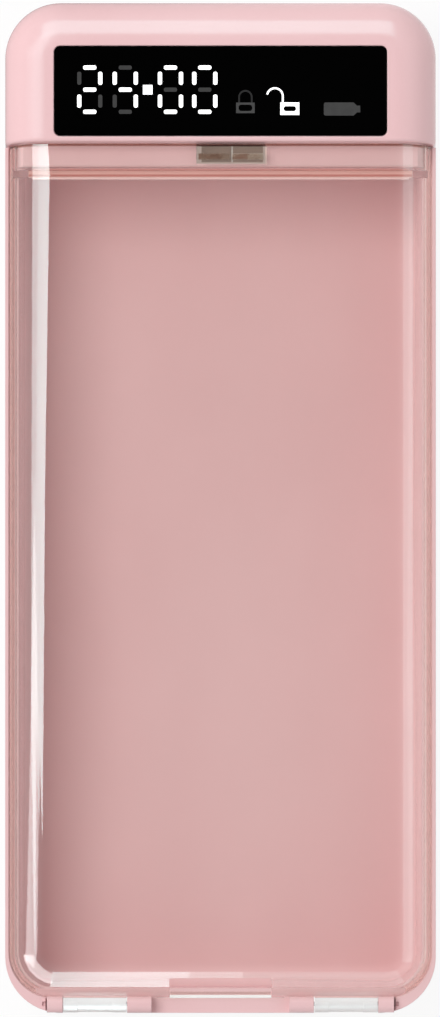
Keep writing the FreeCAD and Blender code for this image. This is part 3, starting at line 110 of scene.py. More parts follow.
class Recipe:
    """Short calls that lay out the nodes of one material or world."""

    def __init__(self, tree: bpy.types.NodeTree) -> None:
        """Starts on an emptied tree.

        Args:
            tree: The node tree to fill.
        """
        self.tree = tree
        self.tree.nodes.clear()
        self.coordinates: bpy.types.NodeSocket | None = None

    def add(self, kind: str, **settings: object) -> bpy.types.Node:
        """Adds a node.

        Args:
            kind: The node's type, without the leading "ShaderNode".
            **settings: Attributes to set on the node.

        Returns:
            The new node.
        """
        node = self.tree.nodes.new("ShaderNode" + kind)
        for name, value in settings.items():
            setattr(node, name, value)
        return node

    def feed(self, target: bpy.types.NodeSocket, value: object) -> None:
        """Gives an input a link, a number or a colour.

        Args:
            target: The input.
            value: An output socket to link, or the value to set.
        """
        if isinstance(value, bpy.types.NodeSocket):
            self.tree.links.new(value, target)
        elif isinstance(value, tuple) and len(value) == 3 and target.type == "RGBA":
            target.default_value = (*value, 1.0)
        else:
            target.default_value = value

    def place(self) -> bpy.types.NodeSocket:
        """The place on the part, from the part's own origin.

        Returns:
            The place in metres.
        """
        if self.coordinates is None:
            self.coordinates = self.add("TexCoord").outputs["Object"]
        return self.coordinates

    def stretched(self, scale: Point) -> bpy.types.NodeSocket:
        """The place on the part, stretched along its axes.

        Args:
            scale: How much finer a pattern gets along X, Y and Z.

        Returns:
            The stretched place.
        """
        mapping = self.add("Mapping")
        self.feed(mapping.inputs["Vector"], self.place())
        self.feed(mapping.inputs["Scale"], scale)
        return mapping.outputs["Vector"]

    def noise(
        self, size: float, detail: float = 2.0, at: bpy.types.NodeSocket | None = None
    ) -> bpy.types.NodeSocket:
        """Cloudy variation about 0.5.

        Args:
            size: How large its spots are, in metres.
            detail: How many finer layers it has.
            at: The place to read it at, or None for the part's own.

        Returns:
            The value output.
        """
        node = self.add("TexNoise")
        self.feed(node.inputs["Vector"], at or self.place())
        self.feed(node.inputs["Scale"], 1.0 / size)
        self.feed(node.inputs["Detail"], detail)
        return node.outputs[0]

    def cells(
        self, size: float, feature: str = "F1", at: bpy.types.NodeSocket | None = None
    ) -> bpy.types.NodeSocket:
        """A pattern of cells.

        Args:
            size: How large a cell is, in metres.
            feature: Blender's name for what is measured in a cell.
            at: The place to read it at, or None for the part's own.

        Returns:
            The distance output.
        """
        node = self.add("TexVoronoi", feature=feature)
        self.feed(node.inputs["Vector"], at or self.place())
        self.feed(node.inputs["Scale"], 1.0 / size)
        return node.outputs["Distance"]

    def span(
        self, value: bpy.types.NodeSocket, low: float, high: float, start: float = 0.3, end: float = 0.7
    ) -> bpy.types.NodeSocket:
        """Rescales a value, held within its limits.

        Args:
            value: What to rescale.
            low: What it gives at start.
            high: What it gives at end.
            start: The value that gives low.
            end: The value that gives high.

        Returns:
            The rescaled value.
        """
        node = self.add("MapRange", interpolation_type="SMOOTHSTEP")
        for name, number in (
            ("From Min", start),
            ("From Max", end),
            ("To Min", low),
            ("To Max", high),
        ):
            self.feed(node.inputs[name], number)
        self.feed(node.inputs["Value"], value)
        return node.outputs["Result"]

    def sums(self, how: str, first: object, second: object) -> bpy.types.NodeSocket:
        """Arithmetic on two values.

        Args:
            how: Blender's name of the operation.
            first: The first value or output.
            second: The second value or output.

        Returns:
            The result.
        """
        node = self.add("Math", operation=how)
        self.feed(node.inputs[0], first)
        self.feed(node.inputs[1], second)
        return node.outputs[0]

    def axis(self, name: str) -> bpy.types.NodeSocket:
        """One coordinate of the place on the part.

        Args:
            name: "X", "Y" or "Z".

        Returns:
            The coordinate in metres.
        """
        node = self.add("SeparateXYZ")
        self.feed(node.inputs[0], self.place())
        return node.outputs[name]

    def blend(self, share: object, low: object, high: object) -> bpy.types.NodeSocket:
        """A colour between two.

        Args:
            share: 0 for low, 1 for high.
            low: The first colour.
            high: The second colour.

        Returns:
            The mixed colour.
        """
        node = self.add("Mix", data_type="RGBA")
        self.feed(node.inputs["Factor"], share)
        self.feed(node.inputs[6], low)
        self.feed(node.inputs[7], high)
        return node.outputs[2]

    def level(self, share: object, low: object, high: object) -> bpy.types.NodeSocket:
        """A value between two.

        Args:
            share: 0 for low, 1 for high.
            low: The first value.
            high: The second value.

        Returns:
            The mixed value.
        """
        node = self.add("Mix", data_type="FLOAT")
        self.feed(node.inputs[0], share)
        self.feed(node.inputs[2], low)
        self.feed(node.inputs[3], high)
        return node.outputs[0]

    def either(
        self, share: object, first: bpy.types.NodeSocket, second: bpy.types.NodeSocket
    ) -> bpy.types.NodeSocket:
        """A mix of two shaders.

        Args:
            share: 0 for the first, 1 for the second.
            first: The first shader.
            second: The second shader.

        Returns:
            The mixed shader.
        """
        node = self.add("MixShader")
        self.feed(node.inputs[0], share)
        self.feed(node.inputs[1], first)
        self.feed(node.inputs[2], second)
        return node.outputs[0]

    def between(
        self, value: bpy.types.NodeSocket, low: float, high: float, soft: float
    ) -> bpy.types.NodeSocket:
        """1 between two limits and 0 outside them.

        Args:
            value: What lies between them.
            low: The lower limit.
            high: The upper limit.
            soft: Over how much it changes at each limit.

        Returns:
            The share.
        """
        above = self.span(value, 0.0, 1.0, low - soft, low + soft)
        below = self.span(value, 1.0, 0.0, high - soft, high + soft)
        return self.sums("MULTIPLY", above, below)

    def soft_edges(self, radius: float) -> bpy.types.NodeSocket:
        """The surface's direction, eased round along sharp edges.

        Args:
            radius: The edges' radius in metres.

        Returns:
            The eased normal.
        """
        node = self.add("Bevel", samples=6)
        self.feed(node.inputs["Radius"], radius)
        return node.outputs[0]

    def relief(
        self, height: bpy.types.NodeSocket, depth: float, under: bpy.types.NodeSocket | None = None
    ) -> bpy.types.NodeSocket:
        """Small ups and downs of the surface.

        Args:
            height: The pattern, 0 low and 1 high.
            depth: The drop from high to low in metres.
            under: A normal to start from.

        Returns:
            The normal with the relief in it.
        """
        node = self.add("Bump")
        self.feed(node.inputs["Strength"], 1.0)
        self.feed(node.inputs["Distance"], depth)
        self.feed(node.inputs["Height"], height)
        if under is not None:
            self.feed(node.inputs["Normal"], under)
        return node.outputs[0]

    def shader(self, **sockets: object) -> bpy.types.Node:
        """The Principled shader with the given inputs.

        Args:
            **sockets: Input names in small letters with underscores, and their values.

        Returns:
            The shader node.
        """
        node = self.add("BsdfPrincipled")
        names = {socket.name.lower().replace(" ", "_"): socket for socket in node.inputs}
        for name, value in sockets.items():
            self.feed(names[name], value)
        return node

    def surface(self, shader: bpy.types.NodeSocket) -> None:
        """Ends a material with what its surface shows."""
        out = self.add("OutputMaterial")
        self.feed(out.inputs["Surface"], shader)


class Finish:
    """What a surface is made of. Each kind fills a material's recipe.

    Attributes:
        name: The material's name.
        made: The materials made so far, by name.
    """

    name: str
    made: ClassVar[dict[str, bpy.types.Material]] = {}

    def fill(self, recipe: Recipe) -> None:
        """Lays out the nodes of a material's recipe."""
        raise NotImplementedError

    def material(self) -> bpy.types.Material:
        """The material of this finish, made on first use.

        Returns:
            The material.
        """
        if self.name not in Finish.made:
            new = bpy.data.materials.new(self.name + "_finish")
            new.use_nodes = True
            self.fill(Recipe(new.node_tree))
            Finish.made[self.name] = new
        return Finish.made[self.name]


@dataclass(frozen=True)
class MouldedPlastic(Finish):
    """Injection-moulded plastic: faint flow clouds, fine waviness, and eased edges.

    Attributes:
        name: The material's name.
        pale: Its colour where it is lightest.
        deep: Its colour where it is deepest.
        roughness: How dull its shine is, on average.
        wave: The drop of its fine waviness in metres.
        wave_size: How large that waviness is, in metres.
        edge: The radius of its edges in metres.
        grain: The drop of an etched grain in metres, 0 on polished plastic.
        grain_size: How large that grain is, in metres.
        level: The strength of its shine.
        flow_size: How large its flow clouds are, in metres.
        flow_stretch: How much finer those clouds get along X, Y and Z.
        speck_size: How large its finest specks are, in metres.
        speck_share: How much of its colour's change lies in those specks.
        speck_dulling: How much duller than the rest those specks are.
        sheen_size: How large its duller and shinier areas are, in metres.
        sheen: How dull those areas are, as shares of the average.
    """

    name: str
    pale: Colour
    deep: Colour
    roughness: float = 0.16
    wave: float = 0.004 * MM
    wave_size: float = 3.5 * MM
    edge: float = 0.25 * MM
    grain: float = 0.0
    grain_size: float = 0.45 * MM
    level: float = 0.5
    flow_size: float = 45.0 * MM
    flow_stretch: Point = (1.0, 0.45, 1.0)
    speck_size: float = 0.6 * MM
    speck_share: float = 0.15
    speck_dulling: float = 0.02
    sheen_size: float = 12.0 * MM
    sheen: Range = (0.8, 1.15)

    def fill(self, recipe: Recipe) -> None:
        """Lays out flow clouds, waviness, grain and edges.

        Args:
            recipe: The material's recipe.
        """
        flow = recipe.noise(self.flow_size, 3.0, recipe.stretched(self.flow_stretch))
        speck = recipe.noise(self.speck_size, 1.0)
        share = recipe.sums(
            "ADD",
            recipe.span(flow, 0.0, 1.0 - self.speck_share),
            recipe.span(speck, 0.0, self.speck_share),
        )
        sheen = recipe.noise(self.sheen_size, 4.0)
        rough = recipe.sums(
            "ADD",
            recipe.span(sheen, *(self.roughness * part for part in self.sheen)),
            recipe.span(speck, 0.0, self.speck_dulling),
        )
        normal = recipe.soft_edges(self.edge)
        normal = recipe.relief(recipe.noise(self.wave_size, 2.0), self.wave, normal)
        if self.grain:
            normal = recipe.relief(recipe.noise(self.grain_size, 3.0), self.grain, normal)
        shader = recipe.shader(
            base_color=recipe.blend(share, self.deep, self.pale),
            roughness=rough,
            ior=SHELL_INDEX,
            specular_ior_level=self.level,
            normal=normal,
        )
        recipe.surface(shader.outputs[0])


@dataclass(frozen=True)
class RoundedFoot:
    """The outline of a part whose two foot corners are rounded, seen from the front.

    Attributes:
        half_width: Half its width in metres.
        foot: Where its foot end lies along Y, in metres.
        radius: The radius of its foot corners in metres.
    """

    half_width: float
    foot: float
    radius: float

    def depth(self, recipe: Recipe) -> bpy.types.NodeSocket:
        """How far inside the outline a place lies.

        Args:
            recipe: The recipe of the material that asks.

        Returns:
            The distance in metres, below zero outside.
        """
        across = recipe.sums(
            "SUBTRACT", recipe.sums("ABSOLUTE", recipe.axis("X"), 0.0), self.half_width - self.radius
        )
        along = recipe.sums("SUBTRACT", self.foot + self.radius, recipe.axis("Y"))
        corner = recipe.sums(
            "POWER",
            recipe.sums(
                "ADD",
                recipe.sums("POWER", recipe.sums("MAXIMUM", across, 0.0), 2.0),
                recipe.sums("POWER", recipe.sums("MAXIMUM", along, 0.0), 2.0),
            ),
            0.5,
        )
        flat = recipe.sums("MINIMUM", recipe.sums("MAXIMUM", across, along), 0.0)
        return recipe.sums("SUBTRACT", self.radius, recipe.sums("ADD", corner, flat))


@dataclass(frozen=True)
class PaintedPatch:
    """A region of a clear part painted with light or shade: dark for painted shade, pale for a painted
    highlight.

    Attributes:
        across: Where it starts and ends along X, in metres.
        along: Where it starts and ends along Y, in metres.
        tint: Its painted colour, which it lets through and, where cloudy, shows: painted shade where
            dark, a painted highlight where pale.
        cloud: How much of that painted colour shows in place of clear plastic, 0 to 1.
        top: The height at which it ends, in metres.
        mirrored: True if it lies on both sides of the centre line.
        lean: How far it shifts towards the foot for each metre below the front face.
        front: The height of the front face in metres.
        soft: Over how much it fades at its sides, in metres.
        top_soft: Over how much it fades under its top, in metres.
    """

    across: Range
    along: Range
    tint: Colour
    cloud: float = 0.0
    top: float = 50.0 * MM
    mirrored: bool = False
    lean: float = 0.0
    front: float = 34.0 * MM
    soft: float = 0.08 * MM
    top_soft: float = 0.1 * MM

    def share(self, recipe: Recipe) -> bpy.types.NodeSocket:
        """1 inside the patch and 0 outside it.

        Args:
            recipe: The recipe of the material that it lies in.

        Returns:
            The share.
        """
        x, y = recipe.axis("X"), recipe.axis("Y")
        if self.mirrored:
            x = recipe.sums("ABSOLUTE", x, 0.0)
        if self.lean:
            drop = recipe.sums("SUBTRACT", self.front, recipe.axis("Z"))
            y = recipe.sums("ADD", y, recipe.sums("MULTIPLY", drop, self.lean))
        inside = recipe.sums(
            "MULTIPLY",
            recipe.between(x, *self.across, self.soft),
            recipe.between(y, *self.along, self.soft),
        )
        under = recipe.span(recipe.axis("Z"), 1.0, 0.0, self.top - self.top_soft, self.top)
        return recipe.sums("MULTIPLY", inside, under)


@dataclass(frozen=True)
class ClearPlastic(Finish):
    """Polished clear plastic that lets the lamps' light through, with painted shade and painted
    highlights in places.

    Attributes:
        name: The material's name.
        tint: The colour that one of its faces lets through.
        shade: The colour of light that has passed one of its faces.
        roughness: How hazy it is.
        haze_size: How large its hazier areas are, in metres.
        haze: How hazy those areas are, as shares of the average.
        wave: The drop of its fine waviness in metres.
        wave_size: How large that waviness is, in metres.
        wave_stretch: How much finer it gets along X, Y and Z.
        flow_size: How large its flow clouds are, in metres.
        flow_dim: What those clouds let through beside the rest.
        edge: The radius of its edges in metres.
        frost_below: Where along Y its etched foot begins, in metres.
        frost: How much of that foot is etched through, 0 to 1.
        frost_haze: How much hazier than the rest that foot is.
        frost_soft: Over how much that foot begins, in metres.
        milk: The colour of the etched foot.
        outline: The lid's outline.
        wall: How far inside the outline its side walls start and end, in metres.
        wall_soft: Over how much those walls fade, in metres.
        wall_painted_shade: What its upright walls let through: partly their depth of plastic along the
            line of sight, partly painted shade for the dim tray behind them.
        rim: How far inside the outline its outermost edge starts and ends, in metres.
        rim_soft: Over how much that edge fades, in metres.
        rim_painted_shade: The painted shade on that edge, a dark pink for the base's rim in shadow
            under it.
        rim_shade_cloud: How much of that painted shade shows in place of clear plastic, 0 to 1.
        painted_patches: Its patches of painted light and shade, later ones over earlier ones.
    """

    name: str
    tint: Colour
    shade: Colour
    roughness: float = 0.015
    haze_size: float = 6.0 * MM
    haze: Range = (0.5, 1.6)
    wave: float = 0.0035 * MM
    wave_size: float = 16.0 * MM
    wave_stretch: Point = (1.0, 0.3, 1.0)
    flow_size: float = 30.0 * MM
    flow_dim: float = 0.985
    edge: float = 0.2 * MM
    frost_below: float = -1.0
    frost: float = 0.6
    frost_haze: float = 0.3
    frost_soft: float = 0.1 * MM
    milk: Colour = (0.93, 0.92, 0.92)
    outline: RoundedFoot = RoundedFoot(46.85 * MM, -108.7 * MM, 10.2 * MM)
    wall: Range = (0.75 * MM, 2.2 * MM)
    wall_soft: float = 0.25 * MM
    wall_painted_shade: Colour = (0.87, 0.81, 0.79)
    rim: Range = (-0.4 * MM, 0.8 * MM)
    rim_soft: float = 0.15 * MM
    rim_painted_shade: Colour = (0.92, 0.62, 0.57)
    rim_shade_cloud: float = 0.3
    painted_patches: tuple[PaintedPatch, ...] = ()

    def fill(self, recipe: Recipe) -> None:
        """Lays out the clear shell, its etched foot, its painted shade and highlights, and how it
        passes the lamps' light.

        Args:
            recipe: The material's recipe.
        """
        wave = recipe.noise(self.wave_size, 2.0, recipe.stretched(self.wave_stretch))
        flow = recipe.noise(self.flow_size, 3.0)
        foot = recipe.span(
            recipe.axis("Y"),
            1.0,
            0.0,
            self.frost_below - self.frost_soft,
            self.frost_below + self.frost_soft,
        )
        clear = recipe.blend(recipe.span(flow, 0.0, 1.0), scaled(self.tint, self.flow_dim), self.tint)
        haze = recipe.noise(self.haze_size, 4.0)
        haze = recipe.span(haze, *(self.roughness * part for part in self.haze))
        depth = self.outline.depth(recipe)
        # Painted shade: a darker colour over the upright walls and the outermost edge, then the patches
        # of painted light and shade.
        wall = recipe.between(depth, *self.wall, self.wall_soft)
        rim = recipe.between(depth, *self.rim, self.rim_soft)
        tint = recipe.blend(wall, clear, self.wall_painted_shade)
        tint = recipe.blend(rim, tint, self.rim_painted_shade)
        cloud = recipe.level(rim, 0.0, self.rim_shade_cloud)
        for patch in self.painted_patches:
            share = patch.share(recipe)
            tint = recipe.blend(share, tint, patch.tint)
            cloud = recipe.level(share, cloud, patch.cloud)
        cloud = recipe.level(foot, cloud, self.frost)
        shader = recipe.shader(
            base_color=recipe.blend(foot, tint, self.milk),
            roughness=recipe.sums("ADD", haze, recipe.sums("MULTIPLY", foot, self.frost_haze)),
            ior=CLEAR_INDEX,
            transmission_weight=recipe.sums("SUBTRACT", 1.0, cloud),
            normal=recipe.relief(wave, self.wave, recipe.soft_edges(self.edge)),
        )
        passing = recipe.add("BsdfTransparent")
        recipe.feed(passing.inputs[0], self.shade)
        path = recipe.add("LightPath")
        lamps = recipe.sums("MAXIMUM", path.outputs["Is Shadow Ray"], path.outputs["Is Diffuse Ray"])
        recipe.surface(recipe.either(lamps, shader.outputs[0], passing.outputs[0]))


@dataclass(frozen=True)
class CloudyPlastic(Finish):
    """Clear plastic in a thick, narrow piece: it looks cloudy, and its edges carry a painted highlight.

    Attributes:
        name: The material's name.
        pale: Its colour where it is lightest.
        deep: Its colour where it is deepest.
        rim: The colour of the painted highlight on its edges.
        clear: How much of it lets light straight through.
        edge: The radius of its edges in metres.
        highlight_turn: The cosine of an edge's turn where the painted highlight is full, and where it
            ends.
        cloud_size: How large its clouds are, in metres.
        cloud_stretch: How much finer they get along X, Y and Z.
        haze: How dull its shine is, from its deep places to its pale ones.
    """

    name: str
    pale: Colour
    deep: Colour
    rim: Colour
    clear: float = 0.25
    edge: float = 0.45 * MM
    highlight_turn: Range = (0.8, 0.97)
    cloud_size: float = 3.5 * MM
    cloud_stretch: Point = (1.0, 1.0, 0.4)
    haze: Range = (0.22, 0.34)

    def fill(self, recipe: Recipe) -> None:
        """Lays out the clouds and the painted highlight on the edges.

        Args:
            recipe: The material's recipe.
        """
        cloud = recipe.noise(self.cloud_size, 3.0, recipe.stretched(self.cloud_stretch))
        rounded = recipe.soft_edges(self.edge)
        flat = recipe.add("NewGeometry").outputs["True Normal"]
        turn = recipe.add("VectorMath", operation="DOT_PRODUCT")
        recipe.feed(turn.inputs[0], rounded)
        recipe.feed(turn.inputs[1], flat)
        # Painted highlight: a paler colour along the edges, where the eased normal turns from the flat
        # one.
        rim = recipe.span(turn.outputs["Value"], 1.0, 0.0, *self.highlight_turn)
        body = recipe.blend(recipe.span(cloud, 0.0, 1.0), self.deep, self.pale)
        shader = recipe.shader(
            base_color=recipe.blend(rim, body, self.rim),
            roughness=recipe.span(cloud, *self.haze),
            ior=CLEAR_INDEX,
            transmission_weight=self.clear,
            normal=rounded,
        )
        recipe.surface(shader.outputs[0])


@dataclass(frozen=True)
class DarkPanel(Finish):
    """A smoked black front panel with faint wipe marks.

    Attributes:
        name: The material's name.
        colour: Its colour.
        level: The strength of its shine.
        wipe_size: How large its wipe marks are, in metres.
        wipe_stretch: How much finer they get along X, Y and Z.
        wipe_gain: How bright they are beside the rest.
        haze: How dull its shine is, between those marks and in them.
        wave: The drop of its waviness in metres.
        wave_size: How large that waviness is, in metres.
    """

    name: str
    colour: Colour
    level: float = 0.3
    wipe_size: float = 20.0 * MM
    wipe_stretch: Point = (0.25, 1.0, 1.0)
    wipe_gain: float = 1.6
    haze: Range = (0.05, 0.11)
    wave: float = 0.001 * MM
    wave_size: float = 12.0 * MM

    def fill(self, recipe: Recipe) -> None:
        """Lays out the panel's depth and its wipe marks.

        Args:
            recipe: The material's recipe.
        """
        wipes = recipe.noise(self.wipe_size, 4.0, recipe.stretched(self.wipe_stretch))
        share = recipe.span(wipes, 0.0, 1.0)
        shader = recipe.shader(
            base_color=recipe.blend(share, self.colour, scaled(self.colour, self.wipe_gain)),
            roughness=recipe.span(wipes, *self.haze),
            ior=SHELL_INDEX,
            specular_ior_level=self.level,
            normal=recipe.relief(recipe.noise(self.wave_size, 1.0), self.wave),
        )
        recipe.surface(shader.outputs[0])


@dataclass(frozen=True)
class DisplayMark(Finish):
    """A mark of the display, lit from behind or left dark.

    Attributes:
        name: The material's name.
        colour: The colour of its diffuser.
        glow: How brightly it is lit, 0 where it isn't.
        faint_above: Where along Y its thin upper strokes begin, in metres.
        faint: How bright those strokes are beside the rest.
        faint_soft: Over how much they begin, in metres.
        cloud_size: How large the diffuser's clouds are, in metres.
        cloud_dim: How bright they are beside the rest.
        frost_size: How large the grains of its frosted face are, in metres.
        haze: How dull its shine is, from its smoothest to its roughest places.
        level: The strength of its shine.
    """

    name: str
    colour: Colour
    glow: float = 0.0
    faint_above: float = 1.0
    faint: float = 0.4
    faint_soft: float = 0.05 * MM
    cloud_size: float = 1.6 * MM
    cloud_dim: float = 0.9
    frost_size: float = 0.8 * MM
    haze: Range = (0.3, 0.42)
    level: float = 0.2

    def fill(self, recipe: Recipe) -> None:
        """Lays out the diffuser and the light in it.

        Args:
            recipe: The material's recipe.
        """
        cloud = recipe.span(recipe.noise(self.cloud_size, 2.0), 0.0, 1.0)
        colour = recipe.blend(cloud, scaled(self.colour, self.cloud_dim), self.colour)
        upper = recipe.span(
            recipe.axis("Y"), 0.0, 1.0, self.faint_above, self.faint_above + self.faint_soft
        )
        colour = recipe.blend(upper, colour, scaled(self.colour, self.faint))
        sockets: dict[str, object] = {
            "base_color": colour,
            "roughness": recipe.span(recipe.noise(self.frost_size, 2.0), *self.haze),
            "specular_ior_level": self.level,
        }
        if self.glow:
            sockets["emission_color"] = colour
            sockets["emission_strength"] = self.glow
        recipe.surface(recipe.shader(**sockets).outputs[0])


class Grain(Enum):
    """How a metal's surface was worked: the width and depth of its marks, in metres."""

    DRAWN = (0.18 * MM, 0.0015 * MM)
    ROLLED = (0.4 * MM, 0.001 * MM)
    CUT = (0.12 * MM, 0.003 * MM)


@dataclass(frozen=True)
class WorkedMetal(Finish):
    """Metal with the marks that its working left.

    Attributes:
        name: The material's name.
        colour: Its colour.
        roughness: How dull it is, on average.
        grain: How it was worked.
        along: Which way its marks run, as how little they change along X, Y and Z.
        sheen: How dull its marks are, as shares of the average.
        stain_size: How large its stains are, in metres.
        stain_dim: How bright they are beside the rest.
        stain_dulling: How much duller than the rest they are.
        edge: The radius of its edges in metres.
    """

    name: str
    colour: Colour
    roughness: float = 0.28
    grain: Grain = Grain.ROLLED
    along: Point = (0.05, 1.0, 1.0)
    sheen: Range = (0.75, 1.2)
    stain_size: float = 4.0 * MM
    stain_dim: float = 0.86
    stain_dulling: float = 0.05
    edge: float = 0.12 * MM

    def fill(self, recipe: Recipe) -> None:
        """Lays out the tool marks and the stains between them.

        Args:
            recipe: The material's recipe.
        """
        width, depth = self.grain.value
        marks = recipe.noise(width, 3.0, recipe.stretched(self.along))
        stain = recipe.noise(self.stain_size, 4.0)
        rough = recipe.sums(
            "ADD",
            recipe.span(marks, *(self.roughness * part for part in self.sheen)),
            recipe.span(stain, self.stain_dulling, 0.0),
        )
        share = recipe.span(stain, 0.0, 1.0)
        shader = recipe.shader(
            base_color=recipe.blend(share, scaled(self.colour, self.stain_dim), self.colour),
            metallic=1.0,
            roughness=rough,
            normal=recipe.relief(marks, depth, recipe.soft_edges(self.edge)),
        )
        recipe.surface(shader.outputs[0])


@dataclass(frozen=True)
class FoamTape(Finish):
    """Closed-cell adhesive foam.

    Attributes:
        name: The material's name.
        colour: The colour of its cells' rims.
        cell_size: How large its cells are, in metres.
        cell_depth: How deep they are, in metres.
        cell_ends: How far from its middle a cell begins and ends, as shares of its size.
        cell_gain: How bright the middle of a cell is beside its rim.
        haze: How dull its shine is, from the middles to the rims.
        level: The strength of its shine.
    """

    name: str
    colour: Colour
    cell_size: float = 0.35 * MM
    cell_depth: float = 0.04 * MM
    cell_ends: Range = (0.1, 0.7)
    cell_gain: float = 1.8
    haze: Range = (0.8, 0.95)
    level: float = 0.3

    def fill(self, recipe: Recipe) -> None:
        """Lays out the cells.

        Args:
            recipe: The material's recipe.
        """
        cells = recipe.cells(self.cell_size)
        share = recipe.span(cells, 0.0, 1.0, *self.cell_ends)
        shader = recipe.shader(
            base_color=recipe.blend(share, scaled(self.colour, self.cell_gain), self.colour),
            roughness=recipe.span(cells, *self.haze),
            specular_ior_level=self.level,
            normal=recipe.relief(cells, self.cell_depth),
        )
        recipe.surface(shader.outputs[0])


@dataclass(frozen=True)
class SolderMask(Finish):
    """A printed board: green mask over copper runs, with a woven core at its edges.

    Attributes:
        name: The material's name.
        mask: The mask's colour over bare core.
        run: The mask's colour over copper.
        core: The colour of the cut edge.
        upright: True for a board that stands on its long edge.
        runs: How the copper runs are laid out, by the names of the pattern's inputs.
        via_pitch: How far apart the vias are, in metres.
        via_rim: How far from a via's middle its copper ends, as shares of the pitch.
        copper_rise: How far the copper stands out, in metres.
        cloud_size: How large the mask's thicker areas are, in metres.
        cloud_share: How much those areas show.
        cloud_dim: How bright they are beside the mask.
        haze: How dull the mask's shine is, from its thinner to its thicker areas.
        weave_size: How wide the core's threads are, in metres.
        weave_stretch: How much finer they get along X, Y and Z.
        weave_dim: How bright they are beside the resin.
    """

    name: str
    mask: Colour
    run: Colour
    core: Colour
    upright: bool = False
    runs: tuple[tuple[str, float], ...] = (
        ("Scale", 160.0),
        ("Mortar Size", 0.045),
        ("Mortar Smooth", 0.1),
        ("Bias", 0.0),
        ("Brick Width", 1.3),
        ("Row Height", 0.32),
    )
    via_pitch: float = 4.0 * MM
    via_rim: Range = (0.06, 0.09)
    copper_rise: float = 0.03 * MM
    cloud_size: float = 10.0 * MM
    cloud_share: float = 0.25
    cloud_dim: float = 0.7
    haze: Range = (0.28, 0.4)
    weave_size: float = 0.2 * MM
    weave_stretch: Point = (0.3, 0.3, 2.0)
    weave_dim: float = 0.75

    def fill(self, recipe: Recipe) -> None:
        """Lays out copper runs, vias and the core's cut edge.

        Args:
            recipe: The material's recipe.
        """
        copper = self.copper(recipe)
        cloud = recipe.noise(self.cloud_size, 3.0)
        green = recipe.blend(copper, self.mask, self.run)
        share = recipe.span(cloud, 0.0, self.cloud_share)
        green = recipe.blend(share, green, scaled(self.mask, self.cloud_dim))
        weave = recipe.noise(self.weave_size, 2.0, recipe.stretched(self.weave_stretch))
        edge = recipe.blend(weave, self.core, scaled(self.core, self.weave_dim))
        shader = recipe.shader(
            base_color=recipe.blend(self.facing(recipe), edge, green),
            roughness=recipe.span(cloud, *self.haze),
            normal=recipe.relief(copper, self.copper_rise),
        )
        recipe.surface(shader.outputs[0])

    def copper(self, recipe: Recipe) -> bpy.types.NodeSocket:
        """Where copper lies under the mask.

        Args:
            recipe: The material's recipe.

        Returns:
            1 on copper and 0 beside it.
        """
        turned = recipe.add("Mapping")
        recipe.feed(turned.inputs["Vector"], recipe.place())
        recipe.feed(turned.inputs["Rotation"], (math.radians(90) if self.upright else 0.0, 0.0, 0.0))
        blocks = recipe.add("TexBrick", offset=0.37, offset_frequency=3, squash=1.7, squash_frequency=2)
        recipe.feed(blocks.inputs["Vector"], turned.outputs[0])
        for name, value in self.runs:
            recipe.feed(blocks.inputs[name], value)
        vias = recipe.span(recipe.cells(self.via_pitch), 1.0, 0.0, *self.via_rim)
        return recipe.sums("MAXIMUM", blocks.outputs["Fac"], vias)

    def facing(self, recipe: Recipe) -> bpy.types.NodeSocket:
        """Where the board shows one of its two faces.

        Args:
            recipe: The material's recipe.

        Returns:
            1 on a face and 0 on the cut edge.
        """
        split = recipe.add("SeparateXYZ")
        recipe.feed(split.inputs[0], recipe.add("NewGeometry").outputs["Normal"])
        flat = recipe.sums("ABSOLUTE", split.outputs["Y" if self.upright else "Z"], 0.0)
        return recipe.span(flat, 0.0, 1.0, 0.4, 0.6)


@dataclass(frozen=True)
class CellFoil(Finish):
    """The laminated foil of a flat lithium cell, lightly wrinkled.

    Attributes:
        name: The material's name.
        colour: Its colour.
        wrinkle_size: How large its wrinkles are, in metres.
        wrinkle_stretch: How much finer they get along X, Y and Z.
        wrinkle_depth: How deep they are, in metres.
        wrinkle_shade: How bright their bottoms are beside the rest: painted shade in the wrinkles.
        haze: How dull its shine is, from their bottoms to their tops.
        metal: How much of its shine is the metal's.
    """

    name: str
    colour: Colour
    wrinkle_size: float = 6.0 * MM
    wrinkle_stretch: Point = (0.6, 1.5, 1.0)
    wrinkle_depth: float = 0.12 * MM
    wrinkle_shade: float = 0.8
    haze: Range = (0.32, 0.45)
    metal: float = 0.9

    def fill(self, recipe: Recipe) -> None:
        """Lays out the wrinkles, with painted shade in their bottoms.

        Args:
            recipe: The material's recipe.
        """
        wrinkle = recipe.noise(self.wrinkle_size, 5.0, recipe.stretched(self.wrinkle_stretch))
        share = recipe.span(wrinkle, 0.0, 1.0)
        # Painted shade: the wrinkles' bottoms are darker.
        shader = recipe.shader(
            base_color=recipe.blend(share, scaled(self.colour, self.wrinkle_shade), self.colour),
            metallic=self.metal,
            roughness=recipe.span(wrinkle, *self.haze),
            normal=recipe.relief(wrinkle, self.wrinkle_depth),
        )
        recipe.surface(shader.outputs[0])


